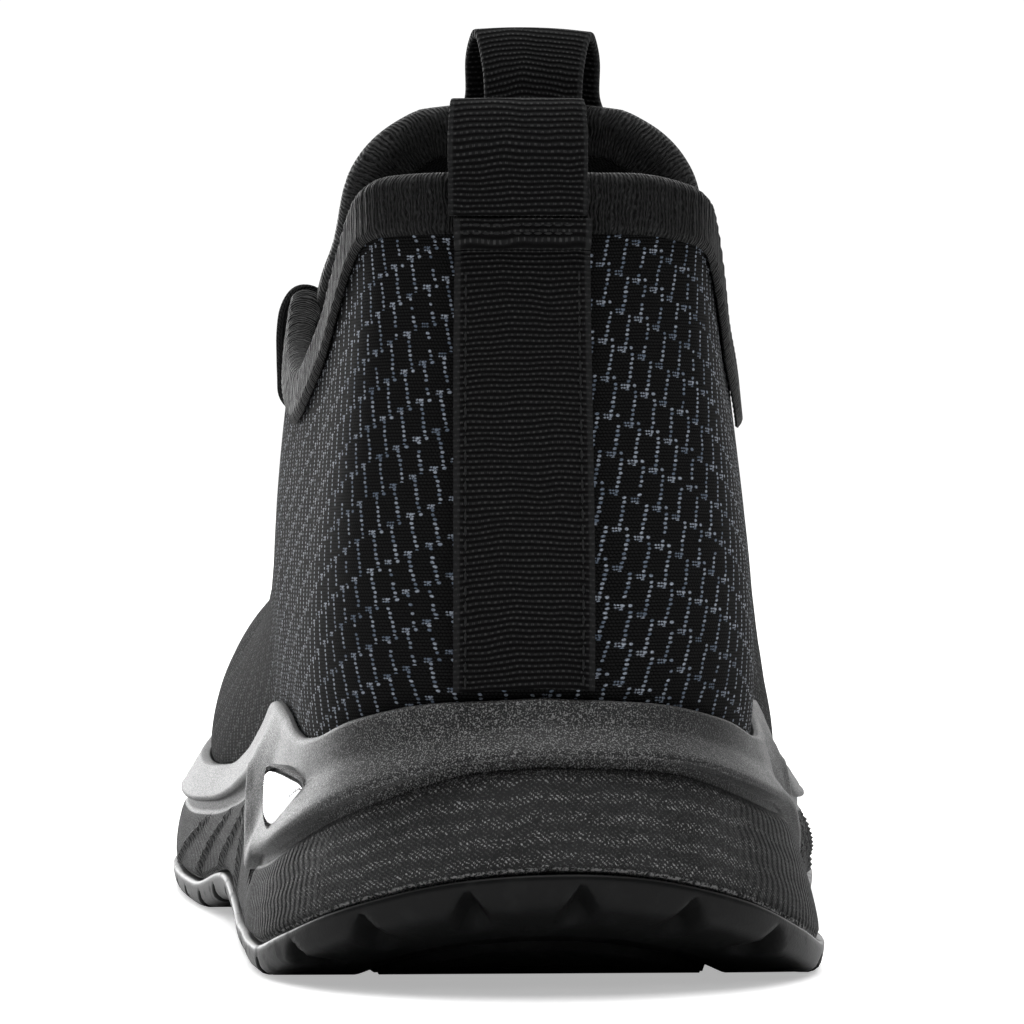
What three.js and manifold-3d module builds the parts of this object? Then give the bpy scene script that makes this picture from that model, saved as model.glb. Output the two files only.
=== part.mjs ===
// Safety trainer for the right foot: a knitted upper on a moulded sole, standing empty.
// Millimetres. The toe points along +Y and the tread stands on z = 0.
import * as THREE from 'three';
import { mergeVertices } from 'three/addons/utils/BufferGeometryUtils.js';
import Module from 'manifold-3d';

const wasm = await Module();
wasm.setup();

// Foot outline where the upper meets the rim of the sole
const FOOT_LENGTH = 290;
const FOOT_INNER = 48; // heel axis to the inner ball of the foot
const FOOT_OUTER = 52; // heel axis to the outer ball
const TOE_SHIFT = -5.5; // toe tip to the inner side of the heel axis

// Sole
const FLARE = 7; // foot of the sole wall outside the foot outline
const RIM_HEIGHT = 43.7; // rim at the back of the heel
const FOOTBED_HEIGHT = 27; // floor of the dish under the heel
const GROOVE_HEIGHT = 1.9;
const GROOVE_DEPTH = 1.8;
const RIM_WIDTH = 1.5;
const HEEL_LIFT = 14; // bevel at the back of the tread
const HEEL_SKEW = 3.3; // the heel of the sole stands out further on the outer side
const HEEL_TWIST = 1.3; // the outer heel corner is bevelled higher than the inner one
const ARCH_LIFT = 4;
const TOE_SPRING = 16;
const OUTSOLE_THICK = 4.6;
const TREAD_DEPTH = 2.8;
const TREAD_PITCH = 16.5;
const TREAD_SLOT = 3;
const TREAD_BORDER = 15; // width of the outer row of lugs
const VEIN_WIDTH = 3;
const VEIN_PROUD = 1.1;

// Badge in the inner flank of the sole
const BADGE_LENGTH = 15;
const BADGE_HEIGHT = 8;
const BADGE_THICK = 1.6;
const BADGE_SINK = 1.1;

// Upper
const WALL = 2.2;
const TUCK = 3; // lower edge of the upper inside the foot outline
const COLLAR_HALF = 34;
const COLLAR_HEIGHT = 118;
const INSOLE_THICK = 4.5;

// Trim
const BINDING_DEPTH = 7;
const BINDING_THICK = 1.2;
const EYESTAY_THICK = 1.2;
const EYELET_RADIUS = 2.4;
const EYELET_EDGE = 8.5; // throat edge to the middle of an eyelet
const EYELETS = 5;
const TONGUE_THICK = 4;
const TONGUE_HEIGHT = 30; // above the top of the throat
const TONGUE_HALF = 31.5;
const TONGUE_SHIFT = 1.8; // middle of the free tongue to the outer side of the heel axis
const TONGUE_EDGE = 5; // depth of the ribbed edge
const EDGE_CLEAR = 0.9; // round the soft edge of the tongue
const LACE_WIDTH = 5.5;
const LACE_THICK = 1.8;
const WEB_WIDTH = 19.7;
const WEB_THICK = 1.5;
const STRAP_SHIFT = -2.3;
const HEEL_LOOP_SHIFT = -3;
const HEEL_LOOP_RISE = 12.5; // above the collar
const TONGUE_LOOP_RISE = 13;
const TONGUE_LOOP_SHIFT = 3.8;
const LOOP_GAP = 6.5;

const GAP = 0.3; // clearance between pieces that touch

// Smooth value of one column of a table at a place, with no overshoot between rows
function look(table, at, column) {
  const last = table.length - 1;
  let i = table.findIndex((row) => row.at >= at);
  i = Math.min(Math.max(i < 0 ? last : i, 1), last) - 1;
  const slope = (k) => (table[k + 1][column] - table[k][column]) / (table[k + 1].at - table[k].at);
  const bend = (k) => {
    if (k === 0) return slope(0);
    if (k === last) return slope(last - 1);
    const [a, b] = [slope(k - 1), slope(k)];
    return a * b <= 0 ? 0 : (2 * a * b) / (a + b);
  };
  const step = table[i + 1].at - table[i].at;
  const t = THREE.MathUtils.clamp((at - table[i].at) / step, 0, 1);
  const [p, q] = [table[i][column], table[i + 1][column]];
  const [m, n] = [bend(i) * step, bend(i + 1) * step];
  const s = t * t;
  return p + t * m + s * (3 * (q - p) - 2 * m - n) + s * t * (2 * (p - q) + m + n);
}

// Foot outline: share of the length, half widths as shares of the two ball half widths
const OUTLINE = [
  { at: 0.006, inner: 0.225, outer: 0.208 },
  { at: 0.021, inner: 0.396, outer: 0.369 },
  { at: 0.045, inner: 0.542, outer: 0.508 },
  { at: 0.083, inner: 0.646, outer: 0.608 },
  { at: 0.138, inner: 0.7, outer: 0.662 },
  { at: 0.2, inner: 0.727, outer: 0.681 },
  { at: 0.262, inner: 0.756, outer: 0.708 },
  { at: 0.338, inner: 0.777, outer: 0.769 },
  { at: 0.421, inner: 0.829, outer: 0.85 },
  { at: 0.497, inner: 0.896, outer: 0.915 },
  { at: 0.566, inner: 0.958, outer: 0.965 },
  { at: 0.634, inner: 0.992, outer: 0.996 },
  { at: 0.703, inner: 0.996, outer: 0.992 },
  { at: 0.772, inner: 0.967, outer: 0.942 },
  { at: 0.841, inner: 0.9, outer: 0.842 },
  { at: 0.897, inner: 0.787, outer: 0.704 },
  { at: 0.945, inner: 0.621, outer: 0.512 },
  { at: 0.979, inner: 0.421, outer: 0.292 },
  { at: 0.996, inner: 0.24, outer: 0.065 },
];

function outlineCurve() {
  const outer = OUTLINE.map((r) => new THREE.Vector3(r.outer * FOOT_OUTER, r.at * FOOT_LENGTH, 0));
  const inner = OUTLINE.map((r) => new THREE.Vector3(-r.inner * FOOT_INNER, r.at * FOOT_LENGTH, 0));
  const heel = new THREE.Vector3(0, 0, 0);
  const toe = new THREE.Vector3(TOE_SHIFT, FOOT_LENGTH, 0);
  const curve = new THREE.CatmullRomCurve3([heel, ...outer, toe, ...inner.reverse()], true, 'centripetal');
  curve.arcLengthDivisions = 1600;
  return curve;
}
const CURVE = outlineCurve();
const CURVE_LENGTHS = CURVE.getLengths(CURVE.points.length * 40);
const TOE_SHARE = CURVE_LENGTHS[(OUTLINE.length + 1) * 40] / CURVE_LENGTHS.at(-1);

// Place on the outline: side is -1 for the inner and 1 for the outer, along runs heel 0 to toe 1
function foot(side, along) {
  const share = side > 0 ? along * TOE_SHARE : 1 - along * (1 - TOE_SHARE);
  const point = CURVE.getPointAt(THREE.MathUtils.clamp(share, 0, 1));
  const tangent = CURVE.getTangentAt(THREE.MathUtils.clamp(share, 0, 1));
  return { point, normal: new THREE.Vector3(tangent.y, -tangent.x, 0).normalize() };
}
function beside(side, along, out, z) {
  const { point, normal } = foot(side, along);
  return point.clone().addScaledVector(normal, out).setZ(z);
}

// Columns that every piece around the foot shares
const COLUMNS = [
  0, 0.02, 0.04, 0.065, 0.09, 0.115, 0.14, 0.165, 0.19, 0.207, 0.222, 0.236, 0.25, 0.265, 0.285, 0.31,
  0.335, 0.36, 0.39, 0.42, 0.455, 0.49, 0.53, 0.57, 0.61, 0.645, 0.66, 0.67, 0.705, 0.745, 0.785, 0.825,
  0.87, 0.915, 0.96, 1,
];
const LAST = COLUMNS.length - 1;

// Closed loop around the foot: outer side heel to toe, then inner side back
function ringOf(place, columns = COLUMNS) {
  const end = columns.length - 1;
  const outer = columns.map((along) => place(1, along));
  const inner = columns.slice(1, end).map((along) => place(-1, along));
  return [...outer, ...inner.reverse()];
}

// Bottom of the tread: shares of the three lifts along the sole, heel edge to toe edge
const TREAD = [
  { at: 0, heel: 1, arch: 0, toe: 0 },
  { at: 0.039, heel: 0.61, arch: 0, toe: 0 },
  { at: 0.082, heel: 0.25, arch: 0, toe: 0 },
  { at: 0.125, heel: 0.02, arch: 0, toe: 0 },
  { at: 0.138, heel: 0, arch: 0, toe: 0 },
  { at: 0.312, heel: 0, arch: 0, toe: 0 },
  { at: 0.41, heel: 0, arch: 1, toe: 0 },
  { at: 0.526, heel: 0, arch: 0, toe: 0 },
  { at: 0.707, heel: 0, arch: 0, toe: 0 },
  { at: 0.82, heel: 0, arch: 0, toe: 0.17 },
  { at: 0.92, heel: 0, arch: 0, toe: 0.54 },
  { at: 1, heel: 0, arch: 0, toe: 1 },
];
function treadZ(point) {
  const at = (point.y + FLARE) / (FOOT_LENGTH + 2 * FLARE);
  const heel = look(TREAD, at, 'heel');
  const twist = (HEEL_TWIST * heel * point.x) / FOOT_INNER;
  const arch = ARCH_LIFT * look(TREAD, at, 'arch');
  return HEEL_LIFT * heel + twist + arch + TOE_SPRING * look(TREAD, at, 'toe');
}

// Side of the sole: heights of rim and lip as shares of the heel rim, of the footbed as a share
// of its height at the heel
const SIDE = [
  { at: 0, rim: 1, lip: 0.808, bed: 1 },
  { at: 0.05, rim: 0.975, lip: 0.787, bed: 1 },
  { at: 0.09, rim: 0.915, lip: 0.721, bed: 0.993 },
  { at: 0.13, rim: 0.838, lip: 0.618, bed: 0.981 },
  { at: 0.16, rim: 0.824, lip: 0.526, bed: 0.963 },
  { at: 0.19, rim: 0.838, lip: 0.43, bed: 0.944 },
  { at: 0.222, rim: 0.865, lip: 0.332, bed: 0.926 },
  { at: 0.24, rim: 0.881, lip: 0.481, bed: 0.915 },
  { at: 0.262, rim: 0.897, lip: 0.657, bed: 0.896 },
  { at: 0.285, rim: 0.902, lip: 0.645, bed: 0.881 },
  { at: 0.33, rim: 0.86, lip: 0.609, bed: 0.844 },
  { at: 0.38, rim: 0.773, lip: 0.556, bed: 0.789 },
  { at: 0.43, rim: 0.673, lip: 0.494, bed: 0.726 },
  { at: 0.5, rim: 0.577, lip: 0.43, bed: 0.63 },
  { at: 0.6, rim: 0.54, lip: 0.394, bed: 0.556 },
  { at: 0.7, rim: 0.554, lip: 0.394, bed: 0.556 },
  { at: 0.8, rim: 0.618, lip: 0.439, bed: 0.615 },
  { at: 0.9, rim: 0.728, lip: 0.531, bed: 0.759 },
  { at: 1, rim: 0.847, lip: 0.652, bed: 0.944 },
];
// Widths outside the foot outline as shares of the flare, and the groove as a share of its depth
const FLANK = [
  { at: 0, lip: 0.886, wall: 0.643, band: 0.4, foot: 1, groove: 1 },
  { at: 0.05, lip: 0.9, wall: 0.66, band: 0.41, foot: 1.05, groove: 1 },
  { at: 0.09, lip: 0.95, wall: 0.74, band: 0.44, foot: 1.18, groove: 0.94 },
  { at: 0.13, lip: 1.04, wall: 0.88, band: 0.47, foot: 1.34, groove: 0.83 },
  { at: 0.16, lip: 1.1, wall: 0.97, band: 0.52, foot: 1.42, groove: 0.78 },
  { at: 0.19, lip: 1.15, wall: 1.03, band: 0.6, foot: 1.42, groove: 0.67 },
  { at: 0.222, lip: 1.2, wall: 1.05, band: 0.66, foot: 1.38, groove: 0.61 },
  { at: 0.24, lip: 1.12, wall: 0.92, band: 0.7, foot: 1.32, groove: 0.61 },
  { at: 0.262, lip: 0.95, wall: 0.72, band: 0.62, foot: 1.26, groove: 0.56 },
  { at: 0.285, lip: 0.8, wall: 0.66, band: 0.53, foot: 1.2, groove: 0.44 },
  { at: 0.33, lip: 0.77, wall: 0.64, band: 0.51, foot: 1.1, groove: 0.39 },
  { at: 0.38, lip: 0.757, wall: 0.643, band: 0.54, foot: 1.04, groove: 0.33 },
  { at: 0.43, lip: 0.757, wall: 0.671, band: 0.56, foot: 1, groove: 0.33 },
  { at: 0.5, lip: 0.771, wall: 0.7, band: 0.57, foot: 1, groove: 0.33 },
  { at: 0.6, lip: 0.786, wall: 0.714, band: 0.59, foot: 1, groove: 0.33 },
  { at: 0.7, lip: 0.786, wall: 0.714, band: 0.59, foot: 1, groove: 0.33 },
  { at: 0.8, lip: 0.771, wall: 0.7, band: 0.57, foot: 1, groove: 0.33 },
  { at: 0.9, lip: 0.757, wall: 0.686, band: 0.56, foot: 1, groove: 0.33 },
  { at: 1, lip: 0.743, wall: 0.671, band: 0.54, foot: 1, groove: 0.33 },
];
const rimZ = (along) => RIM_HEIGHT * look(SIDE, along, 'rim');
const lipZ = (along) => RIM_HEIGHT * look(SIDE, along, 'lip');
const bedZ = (along) => FOOTBED_HEIGHT * look(SIDE, along, 'bed');
const flareOf = (along, column) => FLARE * look(FLANK, along, column);
function baseOut(side, along) {
  const foot = look(FLANK, along, 'foot');
  return FLARE * foot + side * HEEL_SKEW * (foot - 1);
}

// Upper edge: collar, throat and then the ridge over the toes
// y is a share of the length, x of the collar half width, heights of the collar height
const TOP = [
  { at: 0, y: 0.021, x: 0, inner: 1, outer: 1, shift: 0 },
  { at: 0.05, y: 0.025, x: 0.397, inner: 1, outer: 1, shift: 0 },
  { at: 0.09, y: 0.041, x: 0.659, inner: 0.997, outer: 0.99, shift: 0 },
  { at: 0.11, y: 0.057, x: 0.735, inner: 0.986, outer: 0.978, shift: 0 },
  { at: 0.125, y: 0.074, x: 0.771, inner: 0.963, outer: 0.956, shift: 0 },
  { at: 0.15, y: 0.103, x: 0.824, inner: 0.905, outer: 0.898, shift: 0 },
  { at: 0.18, y: 0.136, x: 0.871, inner: 0.844, outer: 0.837, shift: 0 },
  { at: 0.21, y: 0.169, x: 0.924, inner: 0.785, outer: 0.778, shift: 0 },
  { at: 0.235, y: 0.197, x: 0.959, inner: 0.746, outer: 0.739, shift: 0 },
  { at: 0.26, y: 0.224, x: 0.982, inner: 0.731, outer: 0.725, shift: 0 },
  { at: 0.29, y: 0.253, x: 1, inner: 0.746, outer: 0.741, shift: 0 },
  { at: 0.32, y: 0.29, x: 1.012, inner: 0.793, outer: 0.79, shift: 0 },
  { at: 0.345, y: 0.321, x: 1, inner: 0.847, outer: 0.844, shift: 0 },
  { at: 0.36, y: 0.34, x: 0.976, inner: 0.878, outer: 0.876, shift: 0 },
  { at: 0.385, y: 0.359, x: 0.912, inner: 0.873, outer: 0.871, shift: 0 },
  { at: 0.41, y: 0.381, x: 0.835, inner: 0.853, outer: 0.851, shift: 0 },
  { at: 0.45, y: 0.418, x: 0.735, inner: 0.816, outer: 0.816, shift: 0 },
  { at: 0.49, y: 0.455, x: 0.64, inner: 0.775, outer: 0.775, shift: 0 },
  { at: 0.53, y: 0.497, x: 0.555, inner: 0.733, outer: 0.733, shift: 0.02 },
  { at: 0.57, y: 0.538, x: 0.485, inner: 0.691, outer: 0.691, shift: 0.05 },
  { at: 0.61, y: 0.576, x: 0.41, inner: 0.65, outer: 0.65, shift: 0.08 },
  { at: 0.645, y: 0.606, x: 0.295, inner: 0.62, outer: 0.62, shift: 0.12 },
  { at: 0.66, y: 0.619, x: 0.16, inner: 0.608, outer: 0.608, shift: 0.13 },
  { at: 0.67, y: 0.624, x: 0, inner: 0.603, outer: 0.603, shift: 0.14 },
  { at: 0.7, y: 0.652, x: 0, inner: 0.585, outer: 0.585, shift: 0.18 },
  { at: 0.76, y: 0.716, x: 0, inner: 0.552, outer: 0.552, shift: 0.3 },
  { at: 0.82, y: 0.786, x: 0, inner: 0.54, outer: 0.54, shift: 0.44 },
  { at: 0.88, y: 0.838, x: 0, inner: 0.537, outer: 0.537, shift: 0.55 },
  { at: 0.94, y: 0.863, x: 0, inner: 0.531, outer: 0.531, shift: 0.6 },
  { at: 1, y: 0.873, x: 0, inner: 0.527, outer: 0.527, shift: 0.62 },
];
const CORNER = 0.36; // top of the throat
const THROAT = 0.67; // bottom of the throat
function topPoint(side, along) {
  const x = side * COLLAR_HALF * look(TOP, along, 'x') + TOE_SHIFT * look(TOP, along, 'shift');
  const z = COLLAR_HEIGHT * look(TOP, along, side > 0 ? 'outer' : 'inner');
  return new THREE.Vector3(x, FOOT_LENGTH * look(TOP, along, 'y'), z);
}

// How a section of the upper leaves the rim and arrives at its top:
// lean and reach are shares of the inner half width, the rise on the inner and outer side
// and the drop are shares of the section's height
const SECTION = [
  { at: 0, lean: 0.095, inner: 0.33, outer: 0.33, reach: -0.085, drop: 0.33 },
  { at: 0.06, lean: 0.09, inner: 0.33, outer: 0.33, reach: -0.065, drop: 0.33 },
  { at: 0.13, lean: 0.065, inner: 0.34, outer: 0.34, reach: -0.01, drop: 0.33 },
  { at: 0.2, lean: 0.045, inner: 0.34, outer: 0.34, reach: 0.03, drop: 0.33 },
  { at: 0.28, lean: 0.04, inner: 0.33, outer: 0.34, reach: 0.04, drop: 0.33 },
  { at: 0.36, lean: 0.04, inner: 0.3, outer: 0.34, reach: 0.07, drop: 0.32 },
  { at: 0.42, lean: 0.035, inner: 0.25, outer: 0.34, reach: 0.15, drop: 0.29 },
  { at: 0.5, lean: 0.03, inner: 0.2, outer: 0.34, reach: 0.24, drop: 0.25 },
  { at: 0.58, lean: 0.03, inner: 0.19, outer: 0.35, reach: 0.3, drop: 0.18 },
  { at: 0.64, lean: 0.045, inner: 0.25, outer: 0.38, reach: 0.36, drop: 0.11 },
  { at: 0.67, lean: 0.055, inner: 0.32, outer: 0.42, reach: 0.41, drop: 0.07 },
  { at: 0.74, lean: 0.075, inner: 0.48, outer: 0.52, reach: 0.5, drop: 0.01 },
  { at: 0.82, lean: 0.09, inner: 0.6, outer: 0.6, reach: 0.52, drop: 0 },
  { at: 0.9, lean: 0.085, inner: 0.66, outer: 0.66, reach: 0.48, drop: 0 },
  { at: 1, lean: 0.072, inner: 0.7, outer: 0.7, reach: 0.43, drop: 0 },
];

// The four control points of a section
function control(side, along) {
  const start = beside(side, along, 0, rimZ(along));
  const end = topPoint(side, along);
  const { normal } = foot(side, along);
  const height = end.z - start.z;
  const low = start.clone().addScaledVector(normal, FOOT_INNER * look(SECTION, along, 'lean'));
  low.z += height * look(SECTION, along, side > 0 ? 'outer' : 'inner');
  const high = end.clone().addScaledVector(normal, FOOT_INNER * look(SECTION, along, 'reach'));
  high.z -= height * look(SECTION, along, 'drop');
  return [start, low, high, end];
}
// Share of a section that lies a given distance under its top
function under(side, along, distance) {
  const [, , high, end] = control(side, along);
  return 1 - distance / (3 * high.distanceTo(end));
}

// Outside of the upper: up is -1 at the lower edge, 0 at the rim and 1 at the top
function skin(side, along, up) {
  const [a, b, c, d] = control(side, along);
  if (up <= 0) {
    const low = beside(side, along, -TUCK, bedZ(along) + GAP);
    return a.lerp(low, -up);
  }
  const s = 1 - up;
  const point = a.multiplyScalar(s * s * s);
  point.addScaledVector(b, 3 * s * s * up);
  point.addScaledVector(c, 3 * s * up * up);
  return point.addScaledVector(d, up * up * up);
}
function skinNormal(side, along, up) {
  const one = (flank) => {
    const e = 0.002;
    const [a, b] = [Math.max(along - e, 0), Math.min(along + e, 1)];
    const [p, q] = [Math.max(up - e, -1), Math.min(up + e, 1)];
    const across = skin(flank, b, up).sub(skin(flank, a, up));
    const rise = skin(flank, along, q).sub(skin(flank, along, p));
    return across.cross(rise).multiplyScalar(flank).normalize();
  };
  const seam = along < 0.001 || along > 0.999 || (up > 0.999 && along >= THROAT);
  return seam ? one(-1).add(one(1)).normalize() : one(side);
}
function offSkin(side, along, up, distance) {
  return skin(side, along, up).addScaledVector(skinNormal(side, along, up), distance);
}

// Geometry from vertices and triangles, turned to face outward
function meshOf(vertices, triangles) {
  let volume = 0;
  for (const [a, b, c] of triangles) {
    volume += vertices[a].dot(vertices[b].clone().cross(vertices[c]));
  }
  const faces = volume < 0 ? triangles.map(([a, b, c]) => [a, c, b]) : triangles;
  const geometry = new THREE.BufferGeometry();
  const numbers = vertices.flatMap((v) => v.toArray());
  geometry.setAttribute('position', new THREE.Float32BufferAttribute(numbers, 3));
  geometry.setIndex(faces.flat());
  return geometry;
}

// Loops of points joined one after the other, closed at the first and last by cross strips
function stack(rings, capped = true) {
  const size = rings[0].length;
  const triangles = [];
  const count = capped ? rings.length - 1 : rings.length;
  for (let r = 0; r < count; r++) {
    const next = (r + 1) % rings.length;
    for (let i = 0; i < size; i++) {
      const j = (i + 1) % size;
      const [a, b, c, d] = [r * size + i, r * size + j, next * size + j, next * size + i];
      triangles.push([a, b, c], [a, c, d]);
    }
  }
  if (capped) {
    const top = (rings.length - 1) * size;
    for (let i = 0; i < size / 2; i++) {
      const pair = (k) => (size - k) % size;
      if (i > 0) triangles.push([i, pair(i), i + 1], [top + i, top + i + 1, top + pair(i)]);
      if (i + 1 < size / 2) {
        triangles.push([pair(i), pair(i + 1), i + 1], [top + pair(i), top + i + 1, top + pair(i + 1)]);
      }
    }
  }
  return meshOf(rings.flat(), triangles);
}

// Sheet with thickness: the same faces on both sides and a rim along every open edge
function sheet(front, back, faces) {
  const size = front.length;
  const edges = new Map();
  for (const [a, b, c] of faces) {
    for (const [p, q] of [[a, b], [b, c], [c, a]]) {
      if (!edges.delete(`${q},${p}`)) edges.set(`${p},${q}`, [p, q]);
    }
  }
  const triangles = faces.flatMap(([a, b, c]) => [[a, b, c], [a + size, c + size, b + size]]);
  for (const [p, q] of edges.values()) triangles.push([q, p, p + size], [q, p + size, q + size]);
  return meshOf([...front, ...back], triangles);
}
// Closed sections one after the other, with the given triangles over both ends
function tube(sections, cap) {
  const size = sections[0].length;
  const triangles = [];
  for (let r = 0; r + 1 < sections.length; r++) {
    for (let i = 0; i < size; i++) {
      const j = (i + 1) % size;
      const [a, b, c, d] = [r * size + i, r * size + j, (r + 1) * size + j, (r + 1) * size + i];
      triangles.push([a, b, c], [a, c, d]);
    }
  }
  const end = (sections.length - 1) * size;
  for (const [a, b, c] of cap) triangles.push([a, c, b], [end + a, end + b, end + c]);
  return meshOf(sections.flat(), triangles);
}
function gridFaces(rows, columns) {
  const faces = [];
  for (let r = 0; r + 1 < rows; r++) {
    for (let c = 0; c + 1 < columns; c++) {
      const a = r * columns + c;
      const b = a + columns;
      if (c < (columns - 1) / 2) faces.push([a, a + 1, b], [a + 1, b + 1, b]);
      else faces.push([a, a + 1, b + 1], [a, b + 1, b]);
    }
  }
  return faces;
}

// Joining and cutting
function solid(geometry) {
  const bare = geometry.index ? geometry.clone() : geometry;
  bare.deleteAttribute('normal');
  bare.deleteAttribute('uv');
  const merged = mergeVertices(bare, 1e-4);
  const vertProperties = new Float32Array(merged.attributes.position.array);
  const triVerts = new Uint32Array(merged.index.array);
  return new wasm.Manifold(new wasm.Mesh({ numProp: 3, vertProperties, triVerts }));
}
function geometryOf(body) {
  const mesh = body.getMesh();
  const geometry = new THREE.BufferGeometry();
  geometry.setAttribute('position', new THREE.BufferAttribute(new Float32Array(mesh.vertProperties), 3));
  geometry.setIndex([...mesh.triVerts]);
  return geometry;
}
const joined = (bodies) => bodies.reduce((sum, body) => sum.add(body));

// Outsole: a plate that follows the tread, cut by chevron slots and one slot along its border
function treadRing(out, lift, columns) {
  return ringOf((side, along) => {
    const point = beside(side, along, baseOut(side, along) + out, 0);
    return point.setZ(treadZ(point) + lift);
  }, columns);
}
function chevron(y) {
  const reach = FOOT_OUTER + 2 * FLARE;
  const [low, high, half] = [y - TREAD_PITCH / 3, y + TREAD_PITCH / 3, TREAD_SLOT / 2];
  const points = [[-reach, low - half], [0, high - half], [reach, low - half]];
  points.push([reach, low + half], [0, high + half], [-reach, low + half]);
  const shape = new THREE.Shape(points.map(([x, v]) => new THREE.Vector2(x, v)));
  const bar = new THREE.ExtrudeGeometry(shape, { depth: HEEL_LIFT + TOE_SPRING + 20, bevelEnabled: false });
  return solid(bar.translate(0, 0, -10));
}
function borderSlot(columns) {
  const [near, far] = [-TREAD_BORDER, -TREAD_BORDER - TREAD_SLOT];
  const rings = [[near, -3], [near, TREAD_DEPTH], [far, TREAD_DEPTH], [far, -3]];
  return solid(stack(rings.map(([out, lift]) => treadRing(out, lift, columns)), false));
}
function outsole() {
  const coarse = COLUMNS.filter((_, i) => i % 2 === 0);
  const profile = [[-2.4, 0], [-0.8, 1.6], [0, OUTSOLE_THICK - 0.3], [-0.4, OUTSOLE_THICK]];
  const plate = solid(stack(profile.map(([out, lift]) => treadRing(out, lift))));
  const layer = solid(stack([treadRing(4, -3, coarse), treadRing(4, TREAD_DEPTH, coarse)]));
  const slots = [];
  for (let y = TREAD_PITCH; y < FOOT_LENGTH; y += TREAD_PITCH) slots.push(chevron(y));
  return geometryOf(plate.subtract(joined(slots).intersect(layer)).subtract(borderSlot(coarse)));
}

// Midsole: textured wall, groove, smooth band with a fin on each flank, rim and dish
function bandPoint(side, along, share) {
  const [lip, rim] = [lipZ(along), rimZ(along)];
  const [from, mid] = [flareOf(along, 'lip'), flareOf(along, 'band')];
  const upward = (share - 0.55) / 0.45;
  const bow = upward < 0 ? from + ((mid - from) * share) / 0.55 : mid + (RIM_WIDTH - mid) * upward;
  return beside(side, along, bow, lip + (rim - lip) * share);
}
function wallPoint(side, along, share) {
  const base = beside(side, along, baseOut(side, along) - 0.5, 0);
  base.z = treadZ(base) + OUTSOLE_THICK + GAP;
  const head = beside(side, along, flareOf(along, 'wall'), lipZ(along) - GROOVE_HEIGHT);
  return base.lerp(head, share);
}
function groovePoint(side, along, lift) {
  const depth = GROOVE_DEPTH * look(FLANK, along, 'groove');
  return beside(side, along, flareOf(along, 'wall') - depth, lipZ(along) - GROOVE_HEIGHT * lift);
}
function veins() {
  const bodies = [];
  const runs = [[0.36, 0.285], [0.44, 0.35], [0.52, 0.425], [0.6, 0.505]];
  for (const side of [-1, 1]) {
    for (const [from, to] of runs) {
      const rings = [];
      for (let k = 0; k <= 3; k++) {
        const along = THREE.MathUtils.lerp(from, to, k / 3);
        const share = THREE.MathUtils.lerp(0.04, 0.96, (k / 3) ** 0.85);
        const { normal } = foot(side, along);
        const middle = wallPoint(side, along, share);
        const base = new THREE.Vector3(normal.y, -normal.x, 0).multiplyScalar(VEIN_WIDTH * 0.8);
        rings.push([
          middle.clone().addScaledVector(normal, VEIN_PROUD),
          middle.clone().add(base).addScaledVector(normal, -VEIN_PROUD * 0.6),
          middle.clone().sub(base).addScaledVector(normal, -VEIN_PROUD * 0.6),
        ]);
      }
      bodies.push(solid(tube(rings, [[0, 1, 2]])));
    }
  }
  return joined(bodies);
}
function midsole() {
  const rings = [
    ringOf((s, a) => wallPoint(s, a, 0)),
    ringOf((s, a) => wallPoint(s, a, 1)),
    ringOf((s, a) => groovePoint(s, a, 0.85)),
    ringOf((s, a) => groovePoint(s, a, 0.1)),
    ringOf((s, a) => bandPoint(s, a, 0)),
    ringOf((s, a) => bandPoint(s, a, 0.14).addScaledVector(foot(s, a).normal, 0.35)),
    ringOf((s, a) => bandPoint(s, a, 0.5)),
    ringOf((s, a) => bandPoint(s, a, 0.93)),
    ringOf((s, a) => beside(s, a, RIM_WIDTH - 0.6, rimZ(a))),
    ringOf((s, a) => beside(s, a, GAP + 0.05, rimZ(a))),
    ringOf((s, a) => beside(s, a, GAP + 0.05 - TUCK, bedZ(a))),
  ];
  return geometryOf(solid(stack(rings)).add(veins()).subtract(badgeBlock(GAP, 6)));
}

// Badge: a plain rounded three-cornered plate sunk in the fin of the inner flank
const BADGE_ALONG = 0.158;
const BADGE_UP = 0.36;
function badgeFrame() {
  const middle = bandPoint(-1, BADGE_ALONG, BADGE_UP);
  const ahead = bandPoint(-1, BADGE_ALONG + 0.01, BADGE_UP).sub(bandPoint(-1, BADGE_ALONG - 0.01, BADGE_UP));
  const rise = bandPoint(-1, BADGE_ALONG, BADGE_UP + 0.1).sub(bandPoint(-1, BADGE_ALONG, BADGE_UP - 0.1));
  const normal = rise.cross(ahead).normalize();
  const upward = new THREE.Vector3(0, 0, 1).projectOnPlane(normal).normalize();
  return new THREE.Matrix4().makeBasis(upward.clone().cross(normal), upward, normal).setPosition(middle);
}
function badgeShape(grow) {
  const [l, h] = [BADGE_LENGTH / 2 + grow, BADGE_HEIGHT / 2 + grow];
  const shape = new THREE.Shape();
  shape.moveTo(-l * 0.75, h);
  shape.lineTo(l * 0.72, h);
  shape.quadraticCurveTo(l, h, l * 0.86, h * 0.45);
  shape.quadraticCurveTo(l * 0.35, -h * 0.7, -l * 0.25, -h);
  shape.quadraticCurveTo(-l * 0.55, -h * 1.08, -l * 0.75, -h * 0.5);
  shape.quadraticCurveTo(-l, h * 0.2, -l, h * 0.62);
  shape.quadraticCurveTo(-l * 1.02, h, -l * 0.75, h);
  return shape;
}
function badgeBlock(grow, rise) {
  const depth = BADGE_SINK + grow + rise;
  const options = { depth, bevelEnabled: false, curveSegments: 4 };
  const plate = new THREE.ExtrudeGeometry(badgeShape(grow), options);
  plate.translate(0, 0, -BADGE_SINK - grow);
  return solid(plate.applyMatrix4(badgeFrame()));
}

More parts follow.
